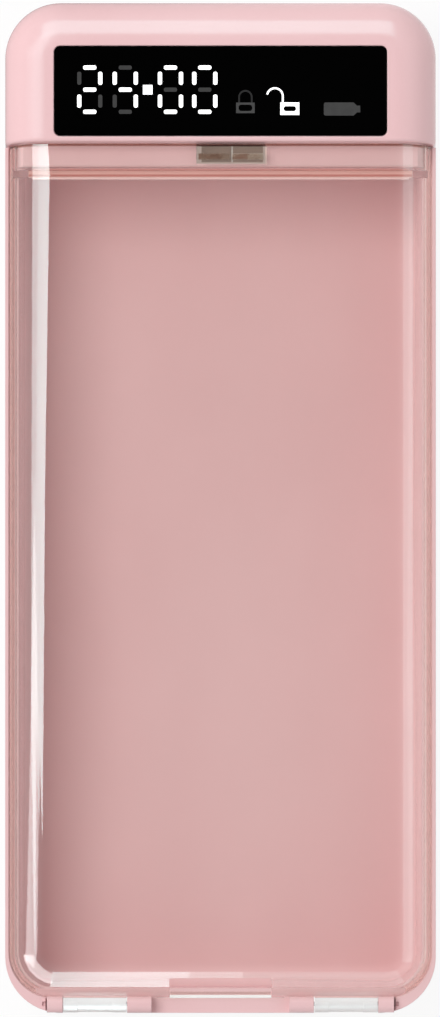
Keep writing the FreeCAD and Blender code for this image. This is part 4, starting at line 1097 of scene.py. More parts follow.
@dataclass(frozen=True)
class LeadPair(Finish):
    """Soft insulation of a pair of leads, red and black, one beside the other along Y.

    Attributes:
        name: The material's name.
        middle: Where along Y the pair's middle lies, in metres.
        red: The live lead's colour.
        black: The other lead's colour.
        bloom: The colour of the slight bloom on both.
        bloom_share: How much of it shows.
        bloom_size: How large its spots are, in metres.
        bloom_rise: How far it stands out, in metres.
        haze: How dull the insulation's shine is, from bare to bloomed.
    """

    name: str
    middle: float
    red: Colour = linear(176, 22, 24)
    black: Colour = linear(22, 22, 24)
    bloom: Colour = linear(190, 180, 180)
    bloom_share: float = 0.12
    bloom_size: float = 1.5 * MM
    bloom_rise: float = 0.01 * MM
    haze: Range = (0.38, 0.5)

    def fill(self, recipe: Recipe) -> None:
        """Lays out the two colours and a slight bloom.

        Args:
            recipe: The material's recipe.
        """
        side = recipe.sums("GREATER_THAN", recipe.axis("Y"), self.middle)
        spots = recipe.noise(self.bloom_size, 3.0)
        colour = recipe.blend(side, self.red, self.black)
        colour = recipe.blend(recipe.span(spots, 0.0, self.bloom_share), colour, self.bloom)
        shader = recipe.shader(
            base_color=colour,
            roughness=recipe.span(spots, *self.haze),
            normal=recipe.relief(spots, self.bloom_rise),
        )
        recipe.surface(shader.outputs[0])


# ---------------------------------------------------------------------------------------------
# The finishes of this container
# ---------------------------------------------------------------------------------------------

SHELL_PINK = MouldedPlastic(
    "shell_pink", pale=linear(237, 198, 200), deep=linear(233, 192, 194), roughness=0.15, level=0.38
)
HEAD_PINK = replace(SHELL_PINK, name="head_pink", edge=0.5 * MM)
BUTTON_PINK = MouldedPlastic(
    "button_pink",
    pale=linear(238, 193, 197),
    deep=linear(233, 186, 190),
    roughness=0.22,
    wave_size=2.0 * MM,
)
RIB_ACROSS = (-41.5 * MM, 41.5 * MM)
INNER_FACE = 32.7 * MM
HOOK_POCKET_PAINT_ALONG = (76.6 * MM, 80.45 * MM)
# Painted light and shade under the rib: pale orange bands stand in for light caught in the rib, dark
# bands for the shade along its sides.
RIB_PAINTED_LIGHT_AND_SHADE = (
    PaintedPatch(RIB_ACROSS, (72.8 * MM, 73.4 * MM), (1.0, 0.7, 0.66), 0.68, INNER_FACE),
    PaintedPatch(RIB_ACROSS, (73.4 * MM, 75.2 * MM), (1.0, 0.6, 0.54), 0.64, INNER_FACE),
    PaintedPatch(RIB_ACROSS, (73.45 * MM, 73.95 * MM), (0.72, 0.3, 0.26), 0.6, INNER_FACE),
    PaintedPatch(RIB_ACROSS, (74.72 * MM, 75.2 * MM), (0.72, 0.33, 0.3), 0.6, INNER_FACE),
)
# Painted shade over the hook pocket: greyish brown for the dim pocket and hooks below, with one narrow
# pale strip as a painted highlight along a hook's edge.
HOOK_POCKET_PAINTED_SHADE_AND_HIGHLIGHT = (
    PaintedPatch((-5.3 * MM, 10.3 * MM), (76.2 * MM, 80.8 * MM), (0.86, 0.7, 0.63), 0.5, INNER_FACE),
    PaintedPatch((-4.2 * MM, 9.4 * MM), HOOK_POCKET_PAINT_ALONG, (0.56, 0.42, 0.35), 0.4, INNER_FACE),
    PaintedPatch((2.4 * MM, 2.75 * MM), HOOK_POCKET_PAINT_ALONG, (0.9, 0.82, 0.76), 0.5, INNER_FACE),
)
# Painted shade and highlight in the lid's foot: a pink band stands in for the shaded base seen through
# the foot wall, and a pale strip at the cable notch for a highlight on its sill.
FOOT_PAINTED_SHADE_AND_HIGHLIGHT = (
    PaintedPatch((11.0 * MM, 41.0 * MM), (-108.6 * MM, -106.4 * MM), (0.88, 0.56, 0.55), 0.7, mirrored=True),
    PaintedPatch((-11.3 * MM, 11.3 * MM), (-108.9 * MM, -108.0 * MM), (0.97, 0.95, 0.94), 0.8, 26.0 * MM),
)
# Painted shade over the seam between the lid and the head cover.
SEAM_PAINTED_SHADE = PaintedPatch((-60.0 * MM, 60.0 * MM), (80.3 * MM, 83.0 * MM), (0.5, 0.31, 0.26), lean=0.105)
LID_CLEAR = ClearPlastic(
    "lid_clear",
    tint=(0.99, 0.965, 0.95),
    shade=(0.947, 0.948, 0.933),
    frost_below=-108.6 * MM,
    painted_patches=(*RIB_PAINTED_LIGHT_AND_SHADE, *HOOK_POCKET_PAINTED_SHADE_AND_HIGHLIGHT, *FOOT_PAINTED_SHADE_AND_HIGHLIGHT, SEAM_PAINTED_SHADE),
)
# The hooks: cloudy plastic with a painted highlight along their edges.
HOOK_CLOUDY = CloudyPlastic(
    "hook_cloudy", pale=linear(196, 180, 166), deep=linear(160, 124, 108), rim=linear(228, 214, 206)
)
WINDOW_BLACK = DarkPanel("window_black", colour=(0.0004, 0.0004, 0.0004), level=0.12)
MARK_LIT = DisplayMark("mark_lit", colour=(1.0, 1.0, 1.0), glow=1.0)
MARK_UNLIT = DisplayMark("mark_unlit", colour=linear(66, 66, 66))
ICON_UNLIT = DisplayMark("icon_unlit", colour=linear(70, 70, 70))
PADLOCK_UNLIT = DisplayMark("padlock_unlit", colour=linear(74, 74, 74), faint_above=89.8 * MM)
PIN_STEEL = WorkedMetal("pin_steel", colour=(0.6, 0.6, 0.61), roughness=0.22, grain=Grain.DRAWN)
SCREW_STEEL = WorkedMetal("screw_steel", colour=(0.56, 0.56, 0.57), roughness=0.3, grain=Grain.CUT)
CAN_STEEL = WorkedMetal("can_steel", colour=(0.62, 0.62, 0.63), roughness=0.26)
GEAR_BRASS = WorkedMetal("gear_brass", colour=(0.72, 0.52, 0.24), roughness=0.3, grain=Grain.CUT)
CONTACT_GOLD = WorkedMetal("contact_gold", colour=(0.83, 0.62, 0.26), roughness=0.2)
LEG_TIN = WorkedMetal("leg_tin", colour=(0.7, 0.7, 0.7), roughness=0.34)
SOLDER = WorkedMetal("solder", colour=(0.72, 0.72, 0.73), roughness=0.24)
FOAM_BLACK = FoamTape("foam_black", colour=(0.014, 0.014, 0.015))
BOARD_GREEN = SolderMask(
    "board_green", mask=(0.012, 0.105, 0.05), run=(0.03, 0.2, 0.09), core=(0.42, 0.38, 0.2)
)
UPRIGHT_BOARD_GREEN = replace(BOARD_GREEN, name="upright_board_green", upright=True)
PART_BLACK = MouldedPlastic(
    "part_black",
    pale=(0.03, 0.03, 0.032),
    deep=(0.02, 0.02, 0.021),
    roughness=0.5,
    grain=0.012 * MM,
    edge=0.1 * MM,
)
LIGHT_BOX_WHITE = MouldedPlastic(
    "light_box_white",
    pale=(0.82, 0.82, 0.8),
    deep=(0.74, 0.74, 0.72),
    roughness=0.5,
    grain=0.006 * MM,
    edge=0.3 * MM,
)
WORKS_WHITE = MouldedPlastic(
    "works_white",
    pale=(0.8, 0.78, 0.72),
    deep=(0.72, 0.7, 0.64),
    roughness=0.38,
    grain=0.006 * MM,
    edge=0.2 * MM,
)
WORKS_GREY = MouldedPlastic(
    "works_grey",
    pale=(0.16, 0.165, 0.175),
    deep=(0.13, 0.134, 0.14),
    roughness=0.45,
    grain=0.01 * MM,
    edge=0.3 * MM,
)
CELL_FOIL = CellFoil("cell_foil", colour=(0.66, 0.67, 0.69))
CERAMIC_TAN = MouldedPlastic(
    "ceramic_tan",
    pale=(0.3, 0.21, 0.13),
    deep=(0.22, 0.15, 0.09),
    roughness=0.42,
    grain=0.006 * MM,
    edge=0.06 * MM,
)
MARK_GREY = MouldedPlastic(
    "mark_grey",
    pale=linear(150, 108, 112),
    deep=linear(138, 98, 102),
    roughness=0.4,
    grain=0.004 * MM,
    edge=0.04 * MM,
)


# ---------------------------------------------------------------------------------------------
# Sub-assemblies
# ---------------------------------------------------------------------------------------------


class Mould:
    """Gathers the mesh of one small piece.

    Attributes:
        turned_sides: How many flat sides a turned solid has.
        hole_sides: How many flat sides a hole has.
        mesh: The mesh so far, in the container's own coordinates.
    """

    turned_sides: ClassVar[int] = 20
    hole_sides: ClassVar[int] = 32

    def __init__(self) -> None:
        """Starts empty."""
        self.mesh = bmesh.new()

    def prism(self, outline: list[Vector], along: Vector) -> None:
        """Adds a solid whose section is a closed outline.

        Args:
            outline: The section's corners in order.
            along: How far and which way it runs from there.
        """
        low = [self.mesh.verts.new(corner) for corner in outline]
        high = [self.mesh.verts.new(corner + along) for corner in outline]
        self.mesh.faces.new(low[::-1])
        self.mesh.faces.new(high)
        for number, corner in enumerate(low):
            after = (number + 1) % len(low)
            self.mesh.faces.new((corner, low[after], high[after], high[number]))

    def turned(self, start: Vector, axis: Vector, profile: Outline) -> None:
        """Adds a solid turned about an axis.

        Args:
            start: Where the axis starts.
            axis: Its direction, one unit long.
            profile: Pairs of the distance along the axis and the radius there.
        """
        sides = self.turned_sides
        across = axis.orthogonal().normalized()
        rings = []
        for distance, radius in profile:
            ring = []
            for number in range(sides):
                turn = Matrix.Rotation(2 * math.pi * number / sides, 3, axis)
                ring.append(self.mesh.verts.new(start + axis * distance + turn @ across * radius))
            rings.append(ring)
        self.mesh.faces.new(rings[0][::-1])
        self.mesh.faces.new(rings[-1])
        for lower, upper in zip(rings, rings[1:]):
            self.bridge(lower, upper)

    def plate_with_hole(self, centre: Vector, half: float, hole: float, thickness: float) -> None:
        """Adds a square plate with a round hole, facing +Y.

        Args:
            centre: The middle of its back face.
            half: Half its width.
            hole: The hole's radius.
            thickness: How thick it is.
        """
        rings: list[list[bmesh.types.BMVert]] = []
        for depth in (0.0, thickness):
            for inner in (False, True):
                ring = []
                for number in range(self.hole_sides):
                    angle = 2 * math.pi * (number + 0.5) / self.hole_sides
                    x, z = math.cos(angle), math.sin(angle)
                    reach = hole if inner else half / max(abs(x), abs(z))
                    ring.append(self.mesh.verts.new(centre + Vector((x * reach, depth, z * reach))))
                rings.append(ring)
        back_rim, back_hole, front_rim, front_hole = rings
        self.bridge(back_rim, back_hole)
        self.bridge(back_hole, front_hole)
        self.bridge(front_hole, front_rim)
        self.bridge(front_rim, back_rim)

    def bridge(self, lower: list[bmesh.types.BMVert], upper: list[bmesh.types.BMVert]) -> None:
        """Adds the faces between two rings of equally many corners.

        Args:
            lower: One ring.
            upper: The other ring.
        """
        for number, corner in enumerate(lower):
            after = (number + 1) % len(lower)
            self.mesh.faces.new((corner, lower[after], upper[after], upper[number]))


@dataclass
class Fitting:
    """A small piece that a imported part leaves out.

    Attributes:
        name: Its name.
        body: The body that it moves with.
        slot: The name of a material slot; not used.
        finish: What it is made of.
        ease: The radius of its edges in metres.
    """

    name: str
    body: str
    slot: str
    finish: Finish
    ease: float = 0.03 * MM

    def place(self, mould: Mould) -> str:
        """Turns a mould's mesh into the piece.

        Args:
            mould: The mesh, in the container's own coordinates.

        Returns:
            The piece's name.
        """
        bmesh.ops.recalc_face_normals(mould.mesh, faces=mould.mesh.faces)
        data = bpy.data.meshes.new(self.name)
        mould.mesh.to_mesh(data)
        mould.mesh.free()
        data.materials.append(self.finish.material())
        item = bpy.data.objects.new(self.name, data)
        bpy.context.scene.collection.objects.link(item)
        eased = item.modifiers.new("eased_edges", "BEVEL")
        eased.width = self.ease
        eased.segments = 2
        eased.limit_method = "ANGLE"
        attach(item, self.body)
        return item.name


def solids_of(item: bpy.types.Object) -> list[tuple[Vector, Vector]]:
    """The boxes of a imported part's loose solids, from left to right.

    Solids that start level are given from the foot to the head and then from the floor upwards.

    Args:
        item: The part.

    Returns:
        The lowest and highest corner of each solid.
    """
    mesh = bmesh.new()
    mesh.from_mesh(item.data)
    bmesh.ops.remove_doubles(mesh, verts=mesh.verts, dist=0.001 * MM)
    left = set(mesh.verts)
    boxes = []
    while left:
        group, waiting = set(), [left.pop()]
        while waiting:
            vertex = waiting.pop()
            group.add(vertex)
            for edge in vertex.link_edges:
                other = edge.other_vert(vertex)
                if other in left:
                    left.remove(other)
                    waiting.append(other)
        places = [vertex.co for vertex in group]
        low = Vector(min(place[i] for place in places) for i in range(3))
        high = Vector(max(place[i] for place in places) for i in range(3))
        boxes.append((low, high))
    mesh.free()
    return sorted(boxes, key=lambda box: tuple(round(value / MM, 3) for value in box[0]))


def corners(points: Outline, base: Vector, first: str, second: str) -> list[Vector]:
    """An outline's corners in space.

    Args:
        points: The corners in millimetres, from the base.
        base: Where the outline's own origin lies, in metres.
        first: The axis that each pair's first number runs along.
        second: The axis that its second number runs along.

    Returns:
        The corners in metres.
    """
    places = []
    for one, two in points:
        place = base.copy()
        place["XYZ".index(first)] += one * MM
        place["XYZ".index(second)] += two * MM
        places.append(place)
    return places


@dataclass(frozen=True)
class HalfRing:
    """The outline of half a ring.

    Attributes:
        outer: Its outer radius in millimetres.
        inner: Its inner radius in millimetres.
        steps: How many straight pieces each of its curves has.
        lift: How far above the origin its centre lies, in millimetres.
        stretch: How much taller than round it is.
    """

    outer: float
    inner: float
    steps: int
    lift: float = 0.0
    stretch: float = 1.0

    def points(self, half: int = 0) -> list[tuple[float, float]]:
        """The outline's corners.

        Args:
            half: 0 for the upper half of the ring, 1 for the lower one.

        Returns:
            The corners in millimetres.
        """
        angles = [math.pi * (half + step / self.steps) for step in range(self.steps + 1)]
        edges = [(self.outer, angle) for angle in angles]
        edges += [(self.inner, angle) for angle in reversed(angles)]
        return [
            (radius * math.cos(angle), self.lift + radius * self.stretch * math.sin(angle))
            for radius, angle in edges
        ]


@dataclass
class SubAssembly:
    """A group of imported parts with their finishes.

    Attributes:
        done: The names of what has been dressed or built so far.
    """

    frame: dict
    done: list[str] = field(default_factory=list)

    def dress(self, node: str, finish: Finish) -> None:
        """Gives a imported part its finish.

        Args:
            node: The part's name.
            finish: What it is made of.
        """
        for slot in self.frame["nodes"][node].material_slots:
            slot.material = finish.material()
        self.done.append(node)

    def build(self) -> list[str]:
        """Builds and dresses everything, and gives the pieces' names."""
        raise NotImplementedError


@dataclass
class Housing(SubAssembly):
    """The base shell with its hinge pins and the screws in its back."""

    def build(self) -> list[str]:
        """Dresses the shell and its metal parts.

        Returns:
            The names of the pieces that it dealt with.
        """
        self.dress("base_shell", SHELL_PINK)
        self.dress("hinge_pin_left", PIN_STEEL)
        self.dress("hinge_pin_right", PIN_STEEL)
        self.dress("cover_screws", SCREW_STEEL)
        return self.done


@dataclass
class Lid(SubAssembly):
    """The clear lid and its two hooks."""

    def build(self) -> list[str]:
        """Dresses the lid.

        Returns:
            The names of the pieces that it dealt with.
        """
        self.dress("lid", LID_CLEAR)
        self.dress("lid_hooks", HOOK_CLOUDY)
        return self.done


@dataclass
class Head(SubAssembly):
    """The head cover with the display in it."""

    def build(self) -> list[str]:
        """Dresses the cover, the panel and its marks.

        Returns:
            The names of the pieces that it dealt with.
        """
        self.dress("head_cover", HEAD_PINK)
        self.dress("display_window", WINDOW_BLACK)
        self.dress("window_tape", FOAM_BLACK)
        self.dress("display_module", LIGHT_BOX_WHITE)
        self.dress("digit_segments_lit", MARK_LIT)
        self.dress("unlock_icon", MARK_LIT)
        self.dress("digit_segments_unlit", MARK_UNLIT)
        self.dress("lock_icon", PADLOCK_UNLIT)
        self.dress("battery_icon", ICON_UNLIT)
        return self.done


@dataclass
class Controls(SubAssembly):
    """The push buttons, their switches and the charging socket.

    Attributes:
        buttons: What the buttons are for.
        contacts: How many contacts each face of the socket's tongue has.
        contact_width: Their width in metres.
        contact_reach: How far back from their chamfered ends they reach, in metres.
        contact_rise: How far they stand out, in metres.
        contact_ease: The radius of their edges in metres.
        plate_half: Half the width of a switch's steel plate in metres.
        plate_hole: The radius of its hole in metres.
        plate_thickness: Its thickness in metres.
        stud_inset: How far from the plate's edges its corner studs' middles lie, in metres.
        stud: A stud's heights and the radius at each, in metres.
        mark_rise: How far the buttons' marks stand out, in metres.
        mark_ease: The radius of the marks' edges in metres.
        mark_bars: The straight strokes of each button's mark: left, lower, right and upper edge,
            in millimetres from the button's middle.
        padlock_bow: The bow of the lock button's mark.
        clock_rim: Half the rim of the other two buttons' marks.
    """

    buttons: tuple[str, ...] = ("hour", "minute", "lock")
    contacts: int = 8
    contact_width: float = 0.3 * MM
    contact_reach: float = 3.4 * MM
    contact_rise: float = 0.03 * MM
    contact_ease: float = 0.006 * MM
    plate_half: float = 2.1 * MM
    plate_hole: float = 1.5 * MM
    plate_thickness: float = 0.15 * MM
    stud_inset: float = 0.4 * MM
    stud: Outline = ((0.0, 0.26 * MM), (0.08 * MM, 0.22 * MM), (0.12 * MM, 0.1 * MM))
    mark_rise: float = 0.06 * MM
    mark_ease: float = 0.015 * MM
    mark_bars: ClassVar[dict[str, list[tuple[float, float, float, float]]]] = {
        "hour": [(-0.12, 0.0, 0.12, 0.62), (-0.12, -0.12, 0.42, 0.12)],
        "minute": [(-0.08, -0.08, 0.08, 0.98)],
        "lock": [(-0.95, -1.15, 0.95, 0.15)],
    }
    padlock_bow: HalfRing = HalfRing(0.7, 0.42, 12, lift=0.15, stretch=1.4)
    clock_rim: HalfRing = HalfRing(1.5, 1.27, 16)

    def socket_contacts(self) -> str:
        """The gold contacts on both faces of the socket's tongue.

        Returns:
            The piece's name.
        """
        low, high = solids_of(self.frame["nodes"]["socket_tongue"])[0]
        mould = Mould()
        pitch = (high.x - low.x) / self.contacts
        half = self.contact_width / 2
        tip = high.y - 2 * half
        for number in range(self.contacts):
            x = low.x + pitch * (number + 0.5)
            for z, rise in ((high.z, self.contact_rise), (low.z, -self.contact_rise)):
                outline = [
                    Vector((x - half, tip - self.contact_reach, z)),
                    Vector((x + half, tip - self.contact_reach, z)),
                    Vector((x + half, tip - half, z)),
                    Vector((x + half / 2, tip, z)),
                    Vector((x - half / 2, tip, z)),
                    Vector((x - half, tip - half, z)),
                ]
                mould.prism(outline, Vector((0.0, 0.0, rise)))
        piece = Fitting("socket_contacts", "base", "brass", CONTACT_GOLD, self.contact_ease)
        return piece.place(mould)

    def switch_plates(self) -> str:
        """The steel plates on the switches, with the domed studs that hold them.

        Returns:
            The piece's name.
        """
        mould = Mould()
        corner = self.plate_half - self.stud_inset
        for low, high in solids_of(self.frame["nodes"]["tact_switches"]):
            middle = (low + high) / 2
            face = Vector((middle.x, high.y, middle.z))
            mould.plate_with_hole(face, self.plate_half, self.plate_hole, self.plate_thickness)
            for x in (-corner, corner):
                for z in (-corner, corner):
                    start = face + Vector((x, self.plate_thickness, z))
                    mould.turned(start, Vector((0.0, 1.0, 0.0)), self.stud)
        return Fitting("switch_plates", "base", "steel", CAN_STEEL).place(mould)

    def button_marks(self) -> list[str]:
        """The small marks on the buttons: a clock's short hand, its long hand, a padlock.

        Returns:
            The pieces' names.
        """
        names = []
        rise = Vector((0.0, self.mark_rise, 0.0))
        for button, bars in self.mark_bars.items():
            low, high = solids_of(self.frame["nodes"][button + "_button"])[0]
            middle = (low + high) / 2
            face = Vector((middle.x, high.y, middle.z))
            outlines = [
                [(-left, lower), (-right, lower), (-right, upper), (-left, upper)]
                for left, lower, right, upper in bars
            ]
            if button == "lock":
                outlines.append(self.padlock_bow.points())
            else:
                outlines += [self.clock_rim.points(half) for half in (0, 1)]
            mould = Mould()
            for outline in outlines:
                mould.prism(corners(outline, face, "X", "Z"), rise)
            body = "button_" + button
            piece = Fitting(button + "_mark", body, "button_pink", MARK_GREY, self.mark_ease)
            names.append(piece.place(mould))
        return names

    def build(self) -> list[str]:
        """Dresses the buttons and what is behind them, and builds their small pieces.

        Returns:
            The names of the pieces that it dealt with.
        """
        for name in self.buttons:
            self.dress(name + "_button", BUTTON_PINK)
            self.dress(name + "_plunger", WORKS_WHITE)
        self.done += [self.socket_contacts(), self.switch_plates(), *self.button_marks()]
        self.dress("tact_switches", PART_BLACK)
        self.dress("charging_socket", CAN_STEEL)
        self.dress("socket_tongue", PART_BLACK)
        return self.done


@dataclass
class LockWorks(SubAssembly):
    """The bolt, its drive and the frame that carries them.

    Attributes:
        blob: The solder's distances along a motor tab and the radius at each, in metres.
        blob_inset: How far inside the tab's end it starts, in metres.
    """

    blob: Outline = (
        (0.0, 0.4 * MM),
        (0.3 * MM, 0.58 * MM),
        (0.8 * MM, 0.62 * MM),
        (1.2 * MM, 0.48 * MM),
        (1.5 * MM, 0.4 * MM),
    )
    blob_inset: float = 0.5 * MM

    def terminal_solder(self) -> str:
        """The solder that holds the leads to the motor's tabs.

        Returns:
            The piece's name.
        """
        mould = Mould()
        leads = solids_of(self.frame["nodes"]["motor_leads"])
        for low, high in solids_of(self.frame["nodes"]["motor_terminals"]):
            middle = (low + high) / 2
            lead = max((box for box in leads if box[0].z < middle.z), key=lambda box: box[0].z)
            start = Vector((low.x + self.blob_inset, (lead[0].y + lead[1].y) / 2, middle.z))
            mould.turned(start, Vector((-1.0, 0.0, 0.0)), self.blob)
        return Fitting("terminal_solder", "base", "steel", SOLDER).place(mould)

    def build(self) -> list[str]:
        """Dresses the lock works and builds their solder.

        Returns:
            The names of the pieces that it dealt with.
        """
        self.done.append(self.terminal_solder())
        self.dress("lock_bolt", WORKS_WHITE)
        self.dress("latch_frame", WORKS_GREY)
        for name in ("frame_screws", "gearbox_screws"):
            self.dress(name, SCREW_STEEL)
        for name in ("drive_pinion", "gearbox", "motor_terminals"):
            self.dress(name, GEAR_BRASS)
        self.dress("motor_shaft", PIN_STEEL)
        self.dress("motor_can", CAN_STEEL)
        self.dress("limit_switch", PART_BLACK)
        return self.done


@dataclass
class Electronics(SubAssembly):
    """The boards, the cell and the leads.

    Attributes:
        leg_width: The width of a chip's legs in metres.
        leg_pitch: How far apart they are, in metres.
        leg_shape: A leg's outline outwards and upwards from the chip's upper edge, in millimetres.
        leg_ease: The radius of the legs' edges in metres.
        parts: Where the small parts under the control board are, in millimetres from the middle
            of the big chip.
        part_shape: The outline of a small part's body along X and Z, in millimetres.
        part_width: That body's width along Y in metres.
        end_shape: The outline of a small part's tinned end, in the same way.
        end_width: That end's width along Y in metres.
        pins: How many pins the strip between the boards has.
        pin: A soldered pin's heights above the board and the radius at each, in metres.
    """

    leg_width: float = 0.3 * MM
    leg_pitch: float = 0.8 * MM
    leg_shape: Outline = (
        (-0.1, -0.55),
        (0.42, -0.55),
        (0.55, -0.14),
        (0.95, -0.14),
        (0.95, -0.01),
        (0.45, -0.01),
        (0.3, -0.43),
        (-0.1, -0.43),
    )
    leg_ease: float = 0.01 * MM
    parts: Outline = (
        (4.9, -2.2),
        (4.9, 2.2),
        (16.0, -3.8),
        (16.0, -1.4),
        (16.0, 3.6),
        (37.4, -3.9),
        (37.4, -1.3),
        (37.4, 1.3),
        (37.4, 3.9),
        (54.5, -3.0),
        (54.5, 2.4),
    )
    part_shape: Outline = (
        (-0.5, -0.02),
        (0.5, -0.02),
        (0.5, -0.46),
        (0.42, -0.52),
        (-0.42, -0.52),
        (-0.5, -0.46),
    )
    part_width: float = 0.8 * MM
    end_shape: Outline = ((0.48, 0.0), (0.9, 0.0), (0.82, -0.4), (0.76, -0.56), (0.48, -0.56))
    end_width: float = 0.86 * MM
    pins: int = 8
    pin: Outline = (
        (-0.02 * MM, 0.72 * MM),
        (0.12 * MM, 0.6 * MM),
        (0.4 * MM, 0.36 * MM),
        (0.62 * MM, 0.3 * MM),
        (0.9 * MM, 0.3 * MM),
        (0.98 * MM, 0.2 * MM),
    )

    def chip_legs(self) -> str:
        """The bent legs along two sides of each chip.

        Returns:
            The piece's name.
        """
        mould = Mould()
        along = Vector((self.leg_width, 0.0, 0.0))
        for low, high in solids_of(self.frame["nodes"]["controller_chips"]):
            count = int((high.x - low.x - self.leg_width) / self.leg_pitch)
            middle = (low.x + high.x) / 2
            for number in range(count):
                x = middle + (number - (count - 1) / 2) * self.leg_pitch - self.leg_width / 2
                for side, y in ((-1, low.y), (1, high.y)):
                    shape = [(out * side, up) for out, up in self.leg_shape]
                    mould.prism(corners(shape, Vector((x, y, high.z)), "Y", "Z"), along)
        return Fitting("chip_legs", "base", "steel", LEG_TIN, self.leg_ease).place(mould)

    def small_parts(self) -> list[str]:
        """The small parts under the control board: their bodies and their tinned ends.

        Returns:
            The pieces' names.
        """
        low, high = solids_of(self.frame["nodes"]["controller_chips"])[0]
        start = Vector(((low.x + high.x) / 2, (low.y + high.y) / 2, high.z))
        bodies, ends = Mould(), Mould()
        body_along = Vector((0.0, self.part_width, 0.0))
        end_along = Vector((0.0, self.end_width, 0.0))
        for x, y in self.parts:
            place = start + Vector((x * MM, y * MM, 0.0))
            section = corners(self.part_shape, place - body_along / 2, "X", "Z")
            bodies.prism(section, body_along)
            for side in (-1, 1):
                shape = [(out * side, up) for out, up in self.end_shape]
                ends.prism(corners(shape, place - end_along / 2, "X", "Z"), end_along)
        return [
            Fitting("small_part_bodies", "base", "parts_black", CERAMIC_TAN).place(bodies),
            Fitting("small_part_ends", "base", "steel", LEG_TIN).place(ends),
        ]

    def header_joints(self) -> str:
        """The soldered pins of the connector strip, on top of the control board.

        Returns:
            The piece's name.
        """
        low, high = solids_of(self.frame["nodes"]["link_header"])[0]
        board = solids_of(self.frame["nodes"]["control_board"])[0][1].z
        mould = Mould()
        pitch = (high.x - low.x) / self.pins
        for number in range(self.pins):
            start = Vector((low.x + pitch * (number + 0.5), (low.y + high.y) / 2, board))
            mould.turned(start, Vector((0.0, 0.0, 1.0)), self.pin)
        return Fitting("header_joints", "base", "brass", CONTACT_GOLD).place(mould)

    def build(self) -> list[str]:
        """Dresses the boards, the cell and the leads, and builds the boards' small pieces.

        Returns:
            The names of the pieces that it dealt with.
        """
        self.done += [self.chip_legs(), self.header_joints(), *self.small_parts()]
        self.dress("control_board", BOARD_GREEN)
        self.dress("button_board", UPRIGHT_BOARD_GREEN)
        self.dress("board_screws", SCREW_STEEL)
        for name in ("controller_chips", "buzzer", "link_header"):
            self.dress(name, PART_BLACK)
        self.dress("battery_connector", WORKS_WHITE)
        self.dress("battery_cell", CELL_FOIL)
        self.dress("battery_pad", FOAM_BLACK)
        for node in ("motor_leads", "battery_leads"):
            low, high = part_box(node)
            self.dress(node, LeadPair(node + "_insulation", (low[1] + high[1]) / 2))
        return self.done


# ---------------------------------------------------------------------------------------------
# Studio
# ---------------------------------------------------------------------------------------------


@dataclass
class Softbox:
    """A flat lamp that faces the container.

    Attributes:
        name: Its name.
        centre: Where it hangs, in metres.
        width: Its size across, in metres.
        height: Its size along, in metres.
        brightness: How bright its face is, where 1 is white.
        aim: What it faces.
        turn: How far it is turned about the way that it faces, in degrees.
        colour: The colour of its light.
        mirrored_in: The one part that shows it in its shine. A lamp without one lights every
            surface and shows in none.
    """

    name: str
    centre: Point
    width: float
    height: float
    brightness: float
    aim: Point = (0.0, 0.0, 20.0 * MM)
    turn: float = 0.0
    colour: Colour = (1.0, 1.0, 1.0)
    mirrored_in: str = ""

    def hang(self, parts: dict[str, bpy.types.Object]) -> bpy.types.Object:
        """Makes the lamp.

        Args:
            parts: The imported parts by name.

        Returns:
            The lamp's object.
        """
        lamp = bpy.data.lights.new(self.name, "AREA")
        lamp.shape = "RECTANGLE"
        lamp.size = self.width
        lamp.size_y = self.height
        lamp.energy = self.brightness * math.pi * self.width * self.height
        lamp.color = self.colour
        item = bpy.data.objects.new(self.name, lamp)
        item.location = self.centre
        item.rotation_euler = self.facing().to_euler()
        item.visible_diffuse = not self.mirrored_in
        item.visible_glossy = bool(self.mirrored_in)
        item.visible_camera = False
        item.visible_transmission = False
        if self.mirrored_in:
            mirror = bpy.data.collections.new(self.name + "_mirror")
            mirror.objects.link(parts[self.mirrored_in])
            item.light_linking.receiver_collection = mirror
        bpy.context.scene.collection.objects.link(item)
        return item

    def facing(self) -> Matrix:
        """How the lamp is turned in space.

        Returns:
            The rotation that faces it at its aim.
        """
        away = (Vector(self.centre) - Vector(self.aim)).normalized()
        across = Vector((0.0, 1.0, 0.0)) if abs(away.x) > 0.99 else Vector((1.0, 0.0, 0.0))
        across = (across - away * across.dot(away)).normalized()
        along = away.cross(across)
        facing = Matrix((across, along, away)).transposed()
        return facing @ Matrix.Rotation(math.radians(self.turn), 3, "Z")


